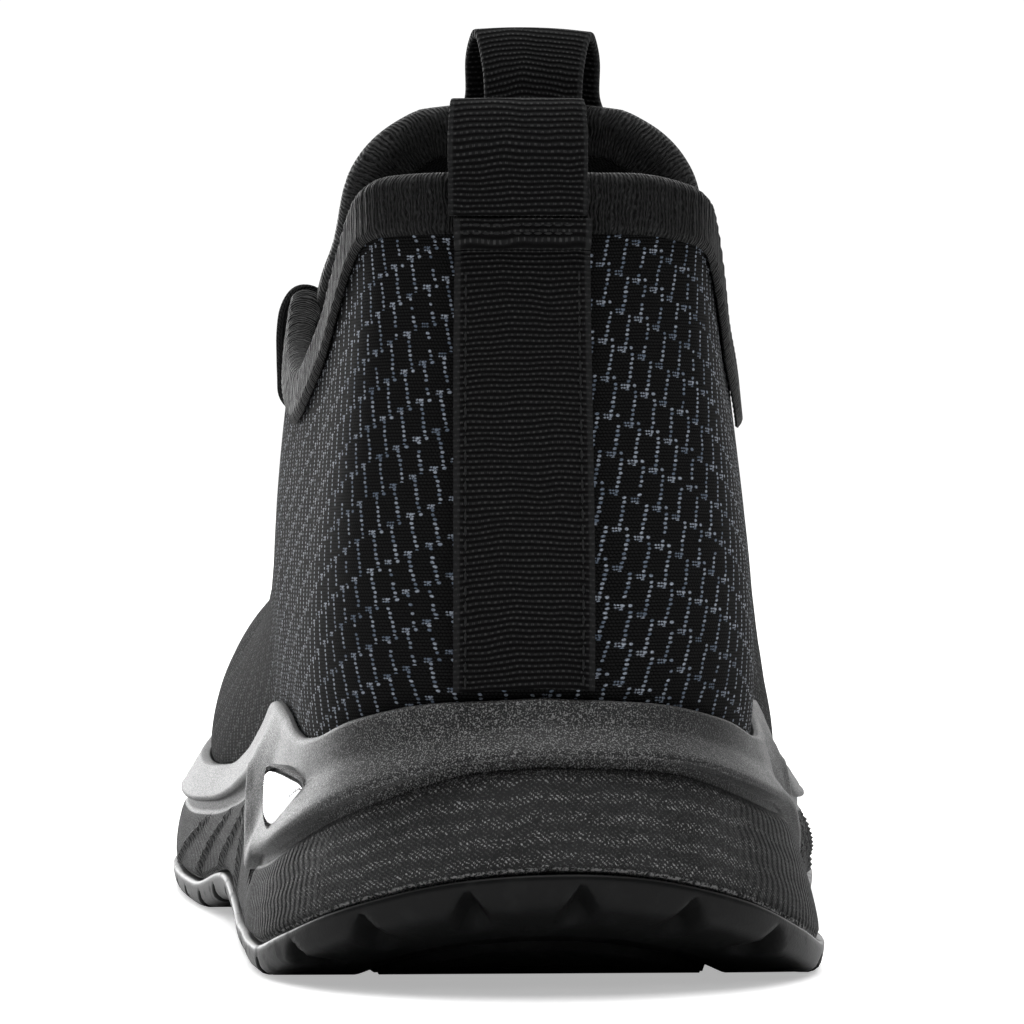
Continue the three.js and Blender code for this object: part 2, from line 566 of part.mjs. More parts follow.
// Insole: a loose sheet on the footbed
function insole() {
  const inset = -TUCK - WALL - 2 * GAP;
  const level = (out, lift) => ringOf((s, a) => beside(s, a, inset + out, bedZ(a) + GAP + lift));
  return stack([level(0, 0), level(-0.6, INSOLE_THICK)]);
}

// Upper: one wall from the lower edge to the collar, the throat and the toe ridge
const LEVELS = [-1, 0, 0.24, 0.49, 0.73];
function levelUp(side, along, level) {
  if (level < LEVELS.length) return LEVELS[level];
  return level === LEVELS.length ? under(side, along, BINDING_DEPTH) : 1;
}
const TOP_LEVEL = LEVELS.length + 1;
function eyeletDirection(side, along) {
  const up = under(side, along, EYELET_EDGE);
  return { middle: skin(side, along, up), normal: skinNormal(side, along, up) };
}
const EYELET_PLACES = Array.from({ length: EYELETS }, (_, k) => {
  return THREE.MathUtils.lerp(CORNER + 0.03, THROAT - 0.065, k / (EYELETS - 1));
});
function eyeletHoles(side) {
  return joined(EYELET_PLACES.map((along) => {
    const { middle, normal } = eyeletDirection(side, along);
    const pin = new THREE.CylinderGeometry(EYELET_RADIUS, EYELET_RADIUS, 12, 8);
    pin.applyQuaternion(new THREE.Quaternion().setFromUnitVectors(new THREE.Vector3(0, 1, 0), normal));
    return solid(pin.translate(middle.x, middle.y, middle.z));
  }));
}
function upper() {
  const places = [];
  const faces = [];
  const index = new Map();
  const at = (side, column, level) => {
    const shared = column === 0 || column === LAST || (level === TOP_LEVEL && COLUMNS[column] >= THROAT);
    const key = `${shared ? 0 : side},${column},${level}`;
    if (!index.has(key)) {
      index.set(key, places.length);
      places.push([side, COLUMNS[column], levelUp(side, COLUMNS[column], level)]);
    }
    return index.get(key);
  };
  for (const side of [-1, 1]) {
    for (let c = 0; c < LAST; c++) {
      for (let r = 0; r < TOP_LEVEL; r++) {
        const [a, b] = [at(side, c, r), at(side, c + 1, r)];
        const [d, e] = [at(side, c + 1, r + 1), at(side, c, r + 1)];
        faces.push(...(side > 0 ? [[a, b, d], [a, d, e]] : [[a, d, b], [a, e, d]]));
      }
    }
  }
  const front = places.map(([side, along, up]) => skin(side, along, up));
  const back = places.map(([side, along, up]) => offSkin(side, along, up, -WALL));
  const wall = solid(sheet(front, back, faces));
  return geometryOf(wall.subtract(eyeletHoles(-1)).subtract(eyeletHoles(1)));
}

// Patch that lies on the upper over some of its columns and levels
function patch(side, from, to, low, near, far) {
  const columns = COLUMNS.filter((along) => along >= from && along <= to);
  const levels = Array.from({ length: TOP_LEVEL - low + 1 }, (_, i) => low + i);
  const lay = (distance) => levels.flatMap((level) => {
    return columns.map((along) => offSkin(side, along, levelUp(side, along, level), distance));
  });
  return sheet(lay(far), lay(near), gridFaces(levels.length, columns.length));
}
function eyestay(side) {
  const band = solid(patch(side, CORNER, THROAT - 0.02, TOP_LEVEL - 2, GAP, GAP + EYESTAY_THICK));
  return geometryOf(band.subtract(eyeletHoles(side)));
}

// Collar binding: a folded strip over the edge from one top eyelet round the heel to the other
function bindingSection(side, along) {
  const low = under(side, along, BINDING_DEPTH);
  const edge = (distance, lift) => {
    const top = offSkin(side, along, 1, distance);
    const rise = skin(side, along, 1).sub(skin(side, along, low)).normalize();
    return top.addScaledVector(rise, lift);
  };
  const [near, far] = [GAP, GAP + BINDING_THICK];
  return [
    offSkin(side, along, low, near), offSkin(side, along, low, far),
    edge(far, GAP), edge(GAP, far), edge(-WALL - GAP, far), edge(-WALL - far, GAP),
    offSkin(side, along, low, -WALL - far), offSkin(side, along, low, -WALL - near),
    edge(-WALL - near, near), edge(near, near),
  ];
}
const BINDING_CAP = [[0, 1, 2], [0, 2, 9], [9, 2, 3], [9, 3, 4], [9, 4, 8], [8, 4, 5], [8, 5, 7], [7, 5, 6]];
function binding() {
  const columns = COLUMNS.filter((along) => along < CORNER);
  const inner = columns.slice(1).reverse().map((along) => bindingSection(-1, along));
  return tube([...inner, ...columns.map((along) => bindingSection(1, along))], BINDING_CAP);
}

// Tongue: under the quarters along the throat, then free above it
// edge is a share of the half width, back and rise are shares of the tongue height
const TONGUE_TOP = [
  { edge: 0.93, back: 0.2, rise: 0.02, crownBack: -0.18, crown: 0.36 },
  { edge: 0.9, back: 0.34, rise: 0.31, crownBack: -0.02, crown: 0.55 },
  { edge: 0.85, back: 0.43, rise: 0.58, crownBack: 0.12, crown: 0.74 },
  { edge: 0.79, back: 0.45, rise: 0.72, crownBack: 0.2, crown: 0.85 },
  { edge: 0.69, back: 0.445, rise: 0.84, crownBack: 0.245, crown: 0.93 },
  { edge: 0.56, back: 0.42, rise: 0.94, crownBack: 0.27, crown: 1 },
];
const TONGUE_LIFT = 7.5; // crown of the tongue above the line between the throat edges
function tongueRow(points) {
  const [left, near, crown, close, right] = points;
  const bow = (edge) => {
    const level = edge.clone().lerp(crown, 0.5);
    const lift = crown.clone().sub(near.clone().lerp(close, 0.5));
    return level.addScaledVector(lift, 0.24);
  };
  return [left, near, bow(near), crown, bow(close), close, right];
}
function throatRow(along) {
  const inside = -WALL - 2 * GAP;
  const low = (side) => offSkin(side, along, under(side, along, 13), inside);
  const edge = (side) => offSkin(side, along, 1, inside);
  const crown = edge(-1).lerp(edge(1), 0.5);
  const open = Math.sqrt(THREE.MathUtils.clamp((THROAT - along) / (THROAT - CORNER), 0, 1));
  const normal = skinNormal(-1, along, 1).add(skinNormal(1, along, 1)).normalize();
  crown.addScaledVector(normal, TONGUE_LIFT * open);
  const [a, b] = [edge(-1), edge(1)];
  if (along >= THROAT) return [low(-1), low(-1).lerp(crown, 0.6), crown, low(1).lerp(crown, 0.6), low(1)];
  return [low(-1), a, crown, b, low(1)];
}
function freeRow(row) {
  const corner = (side) => offSkin(side, CORNER, 1, -WALL - 2 * GAP);
  const middle = corner(-1).lerp(corner(1), 0.5);
  const slide = TONGUE_SHIFT * Math.min(row.rise / 0.3, 1);
  const place = (x, back, rise) => {
    const level = middle.z + rise * TONGUE_HEIGHT;
    return new THREE.Vector3(middle.x + slide + x, middle.y - back * TONGUE_HEIGHT, level);
  };
  const half = TONGUE_HALF * row.edge;
  const crown = place(0, row.crownBack, row.crown);
  const [back, rise] = [(row.back * 2 + row.crownBack) / 3, (row.rise * 2 + row.crown) / 3];
  const bow = (side) => place(side * half * 0.78, back, rise);
  const edge = (side) => place(side * half, row.back, row.rise);
  return [edge(-1), bow(-1), crown, bow(1), edge(1)];
}
function tongueGrid() {
  const along = [0.69, 0.67, 0.645, 0.62, 0.585, 0.55, 0.515, 0.48, 0.445, 0.41];
  const rows = along.map((at) => tongueRow(throatRow(at)));
  return [...rows, ...TONGUE_TOP.map((row) => tongueRow(freeRow(row)))];
}
function gridNormals(grid) {
  return grid.map((row, r) => row.map((_, c) => {
    const across = row[Math.min(c + 1, row.length - 1)].clone().sub(row[Math.max(c - 1, 0)]);
    const rise = grid[Math.min(r + 1, grid.length - 1)][c].clone().sub(grid[Math.max(r - 1, 0)][c]);
    return rise.cross(across).normalize();
  }));
}
function tongue() {
  const grid = tongueGrid();
  const normals = gridNormals(grid);
  const inward = grid.flatMap((row, r) => row.map((point, c) => {
    return point.clone().addScaledVector(normals[r][c], -TONGUE_THICK);
  }));
  return sheet(grid.flat(), inward, gridFaces(grid.length, grid[0].length));
}

// Webbing: columns of points side by side, thickened away from what it lies on
function webbing(columns) {
  const normals = gridNormals(columns);
  const outward = columns.flatMap((column, c) => column.map((point, i) => {
    return point.clone().addScaledVector(normals[c][i], WEB_THICK);
  }));
  return sheet(columns.flat(), outward, gridFaces(columns.length, columns[0].length));
}
const webColumns = (shift) => [-0.5, -0.25, 0, 0.25, 0.5].map((share) => shift + share * WEB_WIDTH);
// Round the back of the heel a place is given by its distance from the middle plane
function nearHeel(x, up) {
  const side = x < 0 ? -1 : 1;
  let [near, far] = [0, 0.12];
  for (let i = 0; i < 24; i++) {
    const along = (near + far) / 2;
    if (Math.abs(skin(side, along, up).x) < Math.abs(x)) near = along;
    else far = along;
  }
  return [side, near];
}
function heelPlace(x, up, below, distance) {
  const [side, along] = nearHeel(x, up ?? 0.95);
  return offSkin(side, along, up ?? under(side, along, below), distance);
}
const OVER_BINDING = BINDING_THICK + 2.5 * GAP;
function heelStrap() {
  const run = [0.02, 0.14, 0.28, 0.42, 0.56, 0.7].map((up) => [up, 0, 1.5 * GAP]);
  run.push([null, BINDING_DEPTH + 3, 1.5 * GAP]);
  run.push([null, BINDING_DEPTH + 0.4, OVER_BINDING], [null, 4.6, OVER_BINDING]);
  return webbing(webColumns(STRAP_SHIFT).map((x) => {
    return run.map(([up, below, out]) => heelPlace(x, up, below, out));
  }));
}
// Loop over an edge: up one face, round a teardrop and down the other face
function loopColumn(foot, edge, farEdge, farFoot, rise) {
  const middle = edge.clone().lerp(farEdge, 0.5);
  const half = edge.clone().sub(middle);
  const upward = new THREE.Vector3(0, 0, rise);
  const bend = [0.17, 0.34, 0.5, 0.66, 0.83].map((turn) => {
    const [c, s] = [Math.cos(Math.PI * turn), Math.sin(Math.PI * turn)];
    const swell = 1 + (LOOP_GAP / (2 * half.length()) - 1) * s;
    return middle.clone().addScaledVector(half, c * swell * 1.35).addScaledVector(upward, s);
  });
  return [foot, edge, ...bend, farEdge, farFoot];
}
function heelLoop() {
  const within = -WALL - OVER_BINDING;
  return webbing(webColumns(HEEL_LOOP_SHIFT).map((x) => {
    const edge = (distance) => heelPlace(x, 1, 0, distance).add(new THREE.Vector3(0, 0, GAP));
    const foot = (distance) => heelPlace(x, null, 4.2, distance);
    const ends = [foot(OVER_BINDING), edge(OVER_BINDING), edge(within), foot(within)];
    return loopColumn(...ends, HEEL_LOOP_RISE - WEB_THICK);
  }));
}
function tongueLoop() {
  const grid = tongueGrid();
  const normals = gridNormals(grid);
  const [top, low] = [grid.length - 1, grid.length - 2];
  const reach = grid[top].at(-2).x - grid[top][1].x;
  const on = (row, x, distance) => {
    const share = (x - grid[top][1].x) / reach * 4 + 1;
    const [i, t] = [Math.floor(share), share - Math.floor(share)];
    const normal = normals[row][i].clone().lerp(normals[row][i + 1], t).normalize();
    return grid[row][i].clone().lerp(grid[row][i + 1], t).addScaledVector(normal, distance);
  };
  const over = EDGE_CLEAR + BINDING_THICK + 2 * GAP;
  const [front, back] = [over, -TONGUE_THICK - over];
  return webbing(webColumns(TONGUE_LOOP_SHIFT).map((x) => {
    const foot = (distance) => on(top, x, distance).lerp(on(low, x, distance), 0.5);
    const edge = (distance) => on(top, x, distance).add(new THREE.Vector3(0, 0, over));
    return loopColumn(foot(back), edge(back), edge(front), foot(front), TONGUE_LOOP_RISE - over);
  }));
}

// Ribbed edge of the tongue: a folded strip along both free sides and over the top
function tongueEdge() {
  const grid = tongueGrid();
  const normals = gridNormals(grid);
  const [last, width] = [grid.length - 1, grid[0].length - 1];
  const first = grid.length - TONGUE_TOP.length;
  const route = [];
  for (let r = first; r < last; r++) route.push([r, 0, r, 1]);
  route.push([last, 0, last - 1, 1]);
  for (let c = 1; c < width; c++) route.push([last, c, last - 1, c]);
  route.push([last, width, last - 1, width - 1]);
  for (let r = last - 1; r >= first; r--) route.push([r, width, r, width - 1]);
  const sections = route.map(([r, c, ir, ic]) => {
    const edge = grid[r][c];
    const inward = grid[ir][ic].clone().sub(edge);
    const share = Math.min(TONGUE_EDGE / inward.length(), 0.9);
    const outward = inward.clone().normalize().negate();
    const at = (along, out, lift) => {
      const base = edge.clone().lerp(grid[ir][ic], along);
      const normal = normals[r][c].clone().lerp(normals[ir][ic], along).normalize();
      return base.addScaledVector(normal, lift).addScaledVector(outward, out);
    };
    const [near, far, low] = [EDGE_CLEAR, EDGE_CLEAR + BINDING_THICK, -TONGUE_THICK];
    return [
      at(share, 0, near), at(share, 0, far), at(0, near, far), at(0, far, near),
      at(0, far, low - near), at(0, near, low - far), at(share, 0, low - far), at(share, 0, low - near),
      at(0, near, low - near), at(0, near, near),
    ];
  });
  return tube(sections, BINDING_CAP);
}

// Lace: flat crossings from eyelet to eyelet, joined where they meet
function lacePoint(along, across) {
  const side = across < 0 ? -1 : 1;
  const width = Math.abs(across);
  const lift = EYESTAY_THICK + LACE_THICK / 2 + GAP * (3.3 + 7.3 * Math.max(1.2 - width, 0));
  if (width >= 0.6) {
    const up = under(side, along, (EYELET_EDGE * (width - 0.6)) / 0.4);
    return { point: offSkin(side, along, up, lift), out: skinNormal(side, along, up) };
  }
  const [left, right] = [offSkin(-1, along, 1, lift), offSkin(1, along, 1, lift)];
  const normal = skinNormal(-1, along, 1).add(skinNormal(1, along, 1)).normalize();
  const middle = left.clone().lerp(right, 0.5);
  const clear = throatRow(along)[2].sub(middle).dot(normal) + LACE_THICK / 2 + 6 * GAP;
  const point = left.lerp(right, 0.5 + (0.5 * across) / 0.6);
  point.addScaledVector(normal, Math.max(clear, 0) * (1 - (width / 0.6) ** 2));
  return { point, out: normal.lerp(skinNormal(side, along, 1), width).normalize() };
}
function laceRun(from, to) {
  const steps = [-1.2, -0.6, -0.3, 0, 0.3, 0.6, 1.2];
  const places = steps.map((across) => lacePoint(THREE.MathUtils.lerp(from, to, (across + 1) / 2), across));
  const sections = places.map(({ point, out }, i) => {
    const [before, after] = [places[Math.max(i - 1, 0)], places[Math.min(i + 1, places.length - 1)]];
    const wide = after.point.clone().sub(before.point).cross(out).normalize();
    return [[-0.5, -0.5], [-0.5, 0.5], [0.5, 0.5], [0.5, -0.5]].map(([w, t]) => {
      return point.clone().addScaledVector(wide, w * LACE_WIDTH).addScaledVector(out, t * LACE_THICK);
    });
  });
  return solid(tube(sections, [[0, 1, 2], [0, 2, 3]]));
}
function lace() {
  const runs = [laceRun(EYELET_PLACES.at(-1), EYELET_PLACES.at(-1))];
  for (let k = 0; k + 1 < EYELETS; k++) {
    runs.push(laceRun(EYELET_PLACES[k], EYELET_PLACES[k + 1]));
    runs.push(laceRun(EYELET_PLACES[k + 1], EYELET_PLACES[k]));
  }
  return geometryOf(joined(runs));
}

const MATERIALS = {
  rubber: { color: 0x17181a, roughness: 0.62, metalness: 0 },
  foam: { color: 0x2a2c2f, roughness: 0.7, metalness: 0 },
  chrome: { color: 0xc9cccf, roughness: 0.12, metalness: 1 },
  knit: { color: 0x1d2024, roughness: 0.9, metalness: 0 },
  mesh: { color: 0x1b1c1e, roughness: 0.92, metalness: 0 },
  binding: { color: 0x101113, roughness: 0.55, metalness: 0 },
  film: { color: 0x2b2d30, roughness: 0.6, metalness: 0 },
  cord: { color: 0x141516, roughness: 0.85, metalness: 0 },
  web: { color: 0x18191b, roughness: 0.8, metalness: 0 },
};
const shoe = new THREE.Group();
function place(name, geometry, finish) {
  const mesh = new THREE.Mesh(geometry, new THREE.MeshStandardMaterial(MATERIALS[finish]));
  mesh.name = name;
  mesh.castShadow = true;
  geometry.computeVertexNormals();
  shoe.add(mesh);
}

place('outsole', outsole(), 'rubber');
place('midsole', midsole(), 'foam');
place('badge', geometryOf(badgeBlock(0, BADGE_THICK - BADGE_SINK)), 'chrome');
place('insole', insole(), 'mesh');
place('upper', upper(), 'knit');
place('collar_binding', binding(), 'binding');
place('tongue', tongue(), 'mesh');
place('eyestay_inner', eyestay(-1), 'film');
place('eyestay_outer', eyestay(1), 'film');
place('tongue_binding', tongueEdge(), 'binding');
place('lace', lace(), 'cord');
place('heel_strap', heelStrap(), 'web');
place('heel_pull_loop', heelLoop(), 'web');
place('tongue_pull_loop', tongueLoop(), 'web');

// The shoe stands on its tread with the middle of its outline over the origin
const box = new THREE.Box3().setFromObject(shoe);
shoe.position.set(-(box.min.x + box.max.x) / 2, -(box.min.y + box.max.y) / 2, -box.min.z);

export default shoe;
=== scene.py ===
# %% [markdown]
# # A knitted work shoe, seen from behind
#
# This lesson dresses a plain solid model of a black work shoe. The solid model gives the places and
# sizes, and each cell below builds one visible piece over it: sole, knitted upper, ribbed bindings,
# tongue, laces, webbing and a small metal badge. The frame loads first, because everything else is
# placed in it.

# %% Load the solid model
from math import cos, pi, radians, sin

import bmesh
import bpy
import numpy as np
from mathutils import Matrix, Vector


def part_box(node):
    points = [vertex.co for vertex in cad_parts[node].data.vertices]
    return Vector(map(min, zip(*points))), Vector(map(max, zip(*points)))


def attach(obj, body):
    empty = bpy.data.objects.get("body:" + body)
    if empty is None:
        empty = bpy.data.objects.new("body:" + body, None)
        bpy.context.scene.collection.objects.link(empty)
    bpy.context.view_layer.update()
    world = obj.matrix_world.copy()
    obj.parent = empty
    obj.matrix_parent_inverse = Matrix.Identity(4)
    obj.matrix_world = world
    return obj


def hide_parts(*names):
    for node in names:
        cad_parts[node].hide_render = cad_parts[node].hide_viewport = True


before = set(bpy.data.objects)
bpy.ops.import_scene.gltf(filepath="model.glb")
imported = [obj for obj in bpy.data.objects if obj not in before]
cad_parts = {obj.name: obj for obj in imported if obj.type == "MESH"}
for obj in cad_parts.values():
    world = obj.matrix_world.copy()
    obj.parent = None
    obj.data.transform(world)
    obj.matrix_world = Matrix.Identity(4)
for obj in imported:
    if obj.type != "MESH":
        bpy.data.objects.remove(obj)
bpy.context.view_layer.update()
MM = 0.001
print("solid model:", sorted(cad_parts))

# %% [markdown]
# ## The camera
#
# The photograph was taken with a long lens, low behind the heel, and the shoe is turned a little.
# A long lens keeps the near heel from swelling, so the distance matters as much as the angle. All
# points are given from the heel: x to the outer side, y to the toe, z up, in millimetres.

# %% Camera behind the heel
HEEL = np.array([-2.1635, -144.9984, 0.0])
FLARE = 7


def from_heel(x, y, z):
    return Vector((HEEL + (x, y, z)) * MM)


EYE_DISTANCE, EYE_LEFT, EYE_HEIGHT = 800, 4.5, 84.6
SHOE_TURN, LOOK_DOWN = radians(3), radians(1)
ahead = np.array([sin(SHOE_TURN), cos(SHOE_TURN), 0])
right = np.array([cos(SHOE_TURN), -sin(SHOE_TURN), 0])
eye = np.array([0, -FLARE, EYE_HEIGHT]) - EYE_DISTANCE * ahead - EYE_LEFT * right
camera = bpy.data.objects.new("camera", bpy.data.cameras.new("camera"))
bpy.context.scene.collection.objects.link(camera)
camera.location = from_heel(*eye)
camera.rotation_euler = (radians(90) - LOOK_DOWN, 0, -SHOE_TURN)
camera.data.sensor_width = 36
camera.data.lens = 195.5
camera.data.clip_end = 20
bpy.context.scene.camera = camera
print("camera at", [round(c, 3) for c in camera.location])

# %% [markdown]
# ## The shape of the foot
#
# A shoe has hardly a straight line, so its surfaces are written as short tables: a few sections from
# heel to toe, with a smooth curve through them. A place on the shoe is then a pair of numbers. The
# first runs round the foot, from -1 at the toe along the inner side to 0 at the heel and on to 1 at
# the toe again, and the second runs up the side. These are the tables of the solid model, so that
# each fine surface lies on it. Two lines follow the photograph instead: the dip of the collar, and
# the lower edge of the sole's band, which LIP_DROP lowers by some millimetres.

# %% Tables and the curve through them
def table(names, text):
    rows = np.array([[float(word) for word in line.split()] for line in text.strip().splitlines()])
    return dict(zip(names.split(), rows.T))


def bends(x, y):
    """Step between the rows and slope at each row"""
    step = np.diff(x)
    slope = np.diff(y) / step
    before, after = slope[:-1], slope[1:]
    total = np.where(before + after == 0, 1, before + after)
    inner = np.where(before * after <= 0, 0, 2 * before * after / total)
    return step, np.concatenate([slope[:1], inner, slope[-1:]])


known_bends = {}


def read(rows, along, column):
    """Smooth value of a column, with no overshoot between its rows"""
    x, y = rows["at"], rows[column]
    if (id(rows), column) not in known_bends:
        known_bends[id(rows), column] = bends(x, y)
    step, bend = known_bends[id(rows), column]
    i = np.minimum(np.maximum(np.searchsorted(x, along, side="left") - 1, 0), len(x) - 2)
    t = np.minimum(np.maximum((along - x[i]) / step[i], 0), 1)
    m, n, p, q = bend[i] * step[i], bend[i + 1] * step[i], y[i], y[i + 1]
    return p + t * m + t**2 * (3 * (q - p) - 2 * m - n) + t**3 * (2 * (p - q) + m + n)


OUTLINE = table("at inner outer", """
.006 .225 .208
.021 .396 .369
.045 .542 .508
.083 .646 .608
.138 .7 .662
.2 .727 .681
.262 .756 .708
.338 .777 .769
.421 .829 .85
.497 .896 .915
.566 .958 .965
.634 .992 .996
.703 .996 .992
.772 .967 .942
.841 .9 .842
.897 .787 .704
.945 .621 .512
.979 .421 .292
.996 .24 .065""")
LENGTH, INNER, OUTER, TOE_SHIFT = 290, 48, 52, -5.5
outer = np.stack([OUTLINE["outer"] * OUTER, OUTLINE["at"] * LENGTH], 1)
inner = np.stack([-OUTLINE["inner"] * INNER, OUTLINE["at"] * LENGTH], 1)
knots = np.concatenate([[[0, 0]], outer, [[TOE_SHIFT, LENGTH]], inner[::-1]])


def through(points, steps):
    """Closed centripetal curve through the points"""
    a, b, c, d = (np.roll(points, k, axis=0) for k in (1, 0, -1, -2))
    gap = [np.sum((q - p) ** 2, axis=1, keepdims=True) ** 0.25 for p, q in ((a, b), (b, c), (c, d))]
    one = ((b - a) / gap[0] - (c - a) / (gap[0] + gap[1]) + (c - b) / gap[1]) * gap[1]
    two = ((c - b) / gap[1] - (d - b) / (gap[1] + gap[2]) + (d - c) / gap[2]) * gap[1]
    runs = []
    for t in np.arange(steps) / steps:
        cube = (2 * b - 2 * c + one + two) * t**3
        runs.append(b + one * t + (-3 * b + 3 * c - 2 * one - two) * t**2 + cube)
    return np.stack(runs, 1).reshape(-1, 2)


loop = through(knots, 60)
loop = np.concatenate([loop, loop[:1]])
reach = np.concatenate([[0], np.cumsum(np.linalg.norm(np.diff(loop, axis=0), axis=1))])
TOE_SHARE = reach[(len(outer) + 1) * 60] / reach[-1]
reach /= reach[-1]
edge_way = np.gradient(loop, axis=0)
edge_way[0] = edge_way[-1] = edge_way[0] + edge_way[-1]
edge_way /= np.linalg.norm(edge_way, axis=1, keepdims=True)
print("outline points:", len(loop), "toe at", round(float(TOE_SHARE), 4))


def foot(s):
    """Point on the foot outline, and the direction away from the foot there"""
    s = np.clip(s, -1, 1)
    share = np.where(s >= 0, s * TOE_SHARE, 1 + s * (1 - TOE_SHARE))
    x, y, tx, ty = (np.interp(share, reach, a) for a in (*loop.T, *edge_way.T))
    size = np.hypot(tx, ty)
    return np.stack([x, y, 0 * x], -1), np.stack([ty / size, -tx / size, 0 * x], -1)


def beside(s, out, z):
    point, normal = foot(s)
    point = point + normal * np.asarray(out)[..., None]
    point[..., 2] = z
    return point


# %% Tables of the sole and of the upper
TREAD = table("at heel arch toe", """
0 1 0 0
.039 .61 0 0
.082 .25 0 0
.125 .02 0 0
.138 0 0 0
.312 0 0 0
.41 0 1 0
.526 0 0 0
.707 0 0 0
.82 0 0 .17
.92 0 0 .54
1 0 0 1""")
SIDE = table("at rim lip bed", """
0 1 .808 1
.05 .975 .787 1
.09 .915 .721 .993
.13 .838 .618 .981
.16 .824 .526 .963
.19 .838 .43 .944
.222 .865 .332 .926
.24 .881 .481 .915
.262 .897 .657 .896
.285 .902 .645 .881
.33 .86 .609 .844
.38 .773 .556 .789
.43 .673 .494 .726
.5 .577 .43 .63
.6 .54 .394 .556
.7 .554 .394 .556
.8 .618 .439 .615
.9 .728 .531 .759
1 .847 .652 .944""")
FLANK = table("at lip wall band foot groove", """
0 .886 .643 .4 1 1
.05 .9 .66 .41 1.05 1
.09 .95 .74 .44 1.18 .94
.13 1.04 .88 .47 1.34 .83
.16 1.1 .97 .52 1.42 .78
.19 1.15 1.03 .6 1.42 .67
.222 1.2 1.05 .66 1.38 .61
.24 1.12 .92 .7 1.32 .61
.262 .95 .72 .62 1.26 .56
.285 .8 .66 .53 1.2 .44
.33 .77 .64 .51 1.1 .39
.38 .757 .643 .54 1.04 .33
.43 .757 .671 .56 1 .33
.5 .771 .7 .57 1 .33
.6 .786 .714 .59 1 .33
.7 .786 .714 .59 1 .33
.8 .771 .7 .57 1 .33
.9 .757 .686 .56 1 .33
1 .743 .671 .54 1 .33""")
TOP = table("at y x inner outer shift", """
0 .021 0 1 1 0
.05 .025 .397 1 1 0
.09 .041 .659 .997 .99 0
.11 .057 .735 .986 .978 0
.125 .074 .771 .963 .956 0
.15 .103 .824 .905 .898 0
.18 .136 .871 .844 .837 0
.21 .169 .924 .8 .793 0
.235 .197 .959 .774 .767 0
.26 .224 .982 .764 .758 0
.29 .253 1 .775 .77 0
.32 .29 1.012 .803 .8 0
.345 .321 1 .847 .844 0
.36 .34 .976 .878 .876 0
.385 .359 .912 .873 .871 0
.41 .381 .835 .853 .851 0
.45 .418 .735 .816 .816 0
.49 .455 .64 .775 .775 0
.53 .497 .555 .733 .733 .02
.57 .538 .485 .691 .691 .05
.61 .576 .41 .65 .65 .08
.645 .606 .295 .62 .62 .12
.66 .619 .16 .608 .608 .13
.67 .624 0 .603 .603 .14
.7 .652 0 .585 .585 .18
.76 .716 0 .552 .552 .3
.82 .786 0 .54 .54 .44
.88 .838 0 .537 .537 .55
.94 .863 0 .531 .531 .6
1 .873 0 .527 .527 .62""")
SECTION = table("at lean inner outer reach drop", """
0 .095 .33 .33 -.085 .33
.06 .09 .33 .33 -.065 .33
.13 .065 .34 .34 -.01 .33
.2 .045 .34 .34 .03 .33
.28 .04 .33 .34 .04 .33
.36 .04 .3 .34 .07 .32
.42 .035 .25 .34 .15 .29
.5 .03 .2 .34 .24 .25
.58 .03 .19 .35 .3 .18
.64 .045 .25 .38 .36 .11
.67 .055 .32 .42 .41 .07
.74 .075 .48 .52 .5 .01
.82 .09 .6 .6 .52 0
.9 .085 .66 .66 .48 0
1 .072 .7 .7 .43 0""")
LIP_DROP = table("at left right", """
0 0 0
.03 .7 0
.05 2.3 .2
.07 3.5 .6
.085 4.1 1.1
.1 4.8 1.4
.115 5.2 1.2
.13 5.2 .4
.145 4.9 0
.16 4 0
.18 2.2 0
.2 .3 0
.23 0 0
1 0 0""")
RIM, BED, GROOVE, RIM_WIDTH, GAP, WALL, TUCK = 43.7, 27, 1.9, 1.5, 0.3, 2.2, 3
OUTSOLE, CORNER, THROAT = 4.6, 0.36, 0.67
COLLAR_TOP, COLLAR_HALF, HALF_ROUND, OUTER_FOOT = 118, 34, 345, 3.3
HEEL_LIFT, HEEL_TILT, ARCH_LIFT, TOE_LIFT = 14, 1.3, 4, 16


def flare(s, column):
    return FLARE * read(FLANK, abs(s), column)


def base_out(s):
    share = read(FLANK, abs(s), "foot")
    return FLARE * share + np.sign(s) * OUTER_FOOT * (share - 1)


def tread_z(x, y):
    at = (y + FLARE) / (LENGTH + 2 * FLARE)
    heel = read(TREAD, at, "heel")
    rise = ARCH_LIFT * read(TREAD, at, "arch")
    return HEEL_LIFT * heel + HEEL_TILT * heel * x / INNER + rise + TOE_LIFT * read(TREAD, at, "toe")


def rim_z(s):
    return RIM * read(SIDE, abs(s), "rim")


def lip_z(s):
    drop = np.where(s < 0, read(LIP_DROP, abs(s), "left"), read(LIP_DROP, abs(s), "right"))
    return RIM * read(SIDE, abs(s), "lip") - drop


def bed_z(s):
    return BED * read(SIDE, abs(s), "bed")


def of_side(rows, s):
    return np.where(s > 0, read(rows, abs(s), "outer"), read(rows, abs(s), "inner"))


def control(s):
    """Four points that shape one section of the upper"""
    start = beside(s, 0, rim_z(s))
    x = np.sign(s) * COLLAR_HALF * read(TOP, abs(s), "x") + TOE_SHIFT * read(TOP, abs(s), "shift")
    end = np.stack([x, LENGTH * read(TOP, abs(s), "y"), COLLAR_TOP * of_side(TOP, s)], -1)
    normal = foot(s)[1]
    height = end[..., 2] - start[..., 2]
    low = start + normal * (INNER * read(SECTION, abs(s), "lean"))[..., None]
    low[..., 2] += height * of_side(SECTION, s)
    high = end + normal * (INNER * read(SECTION, abs(s), "reach"))[..., None]
    high[..., 2] -= height * read(SECTION, abs(s), "drop")
    return start, low, high, end


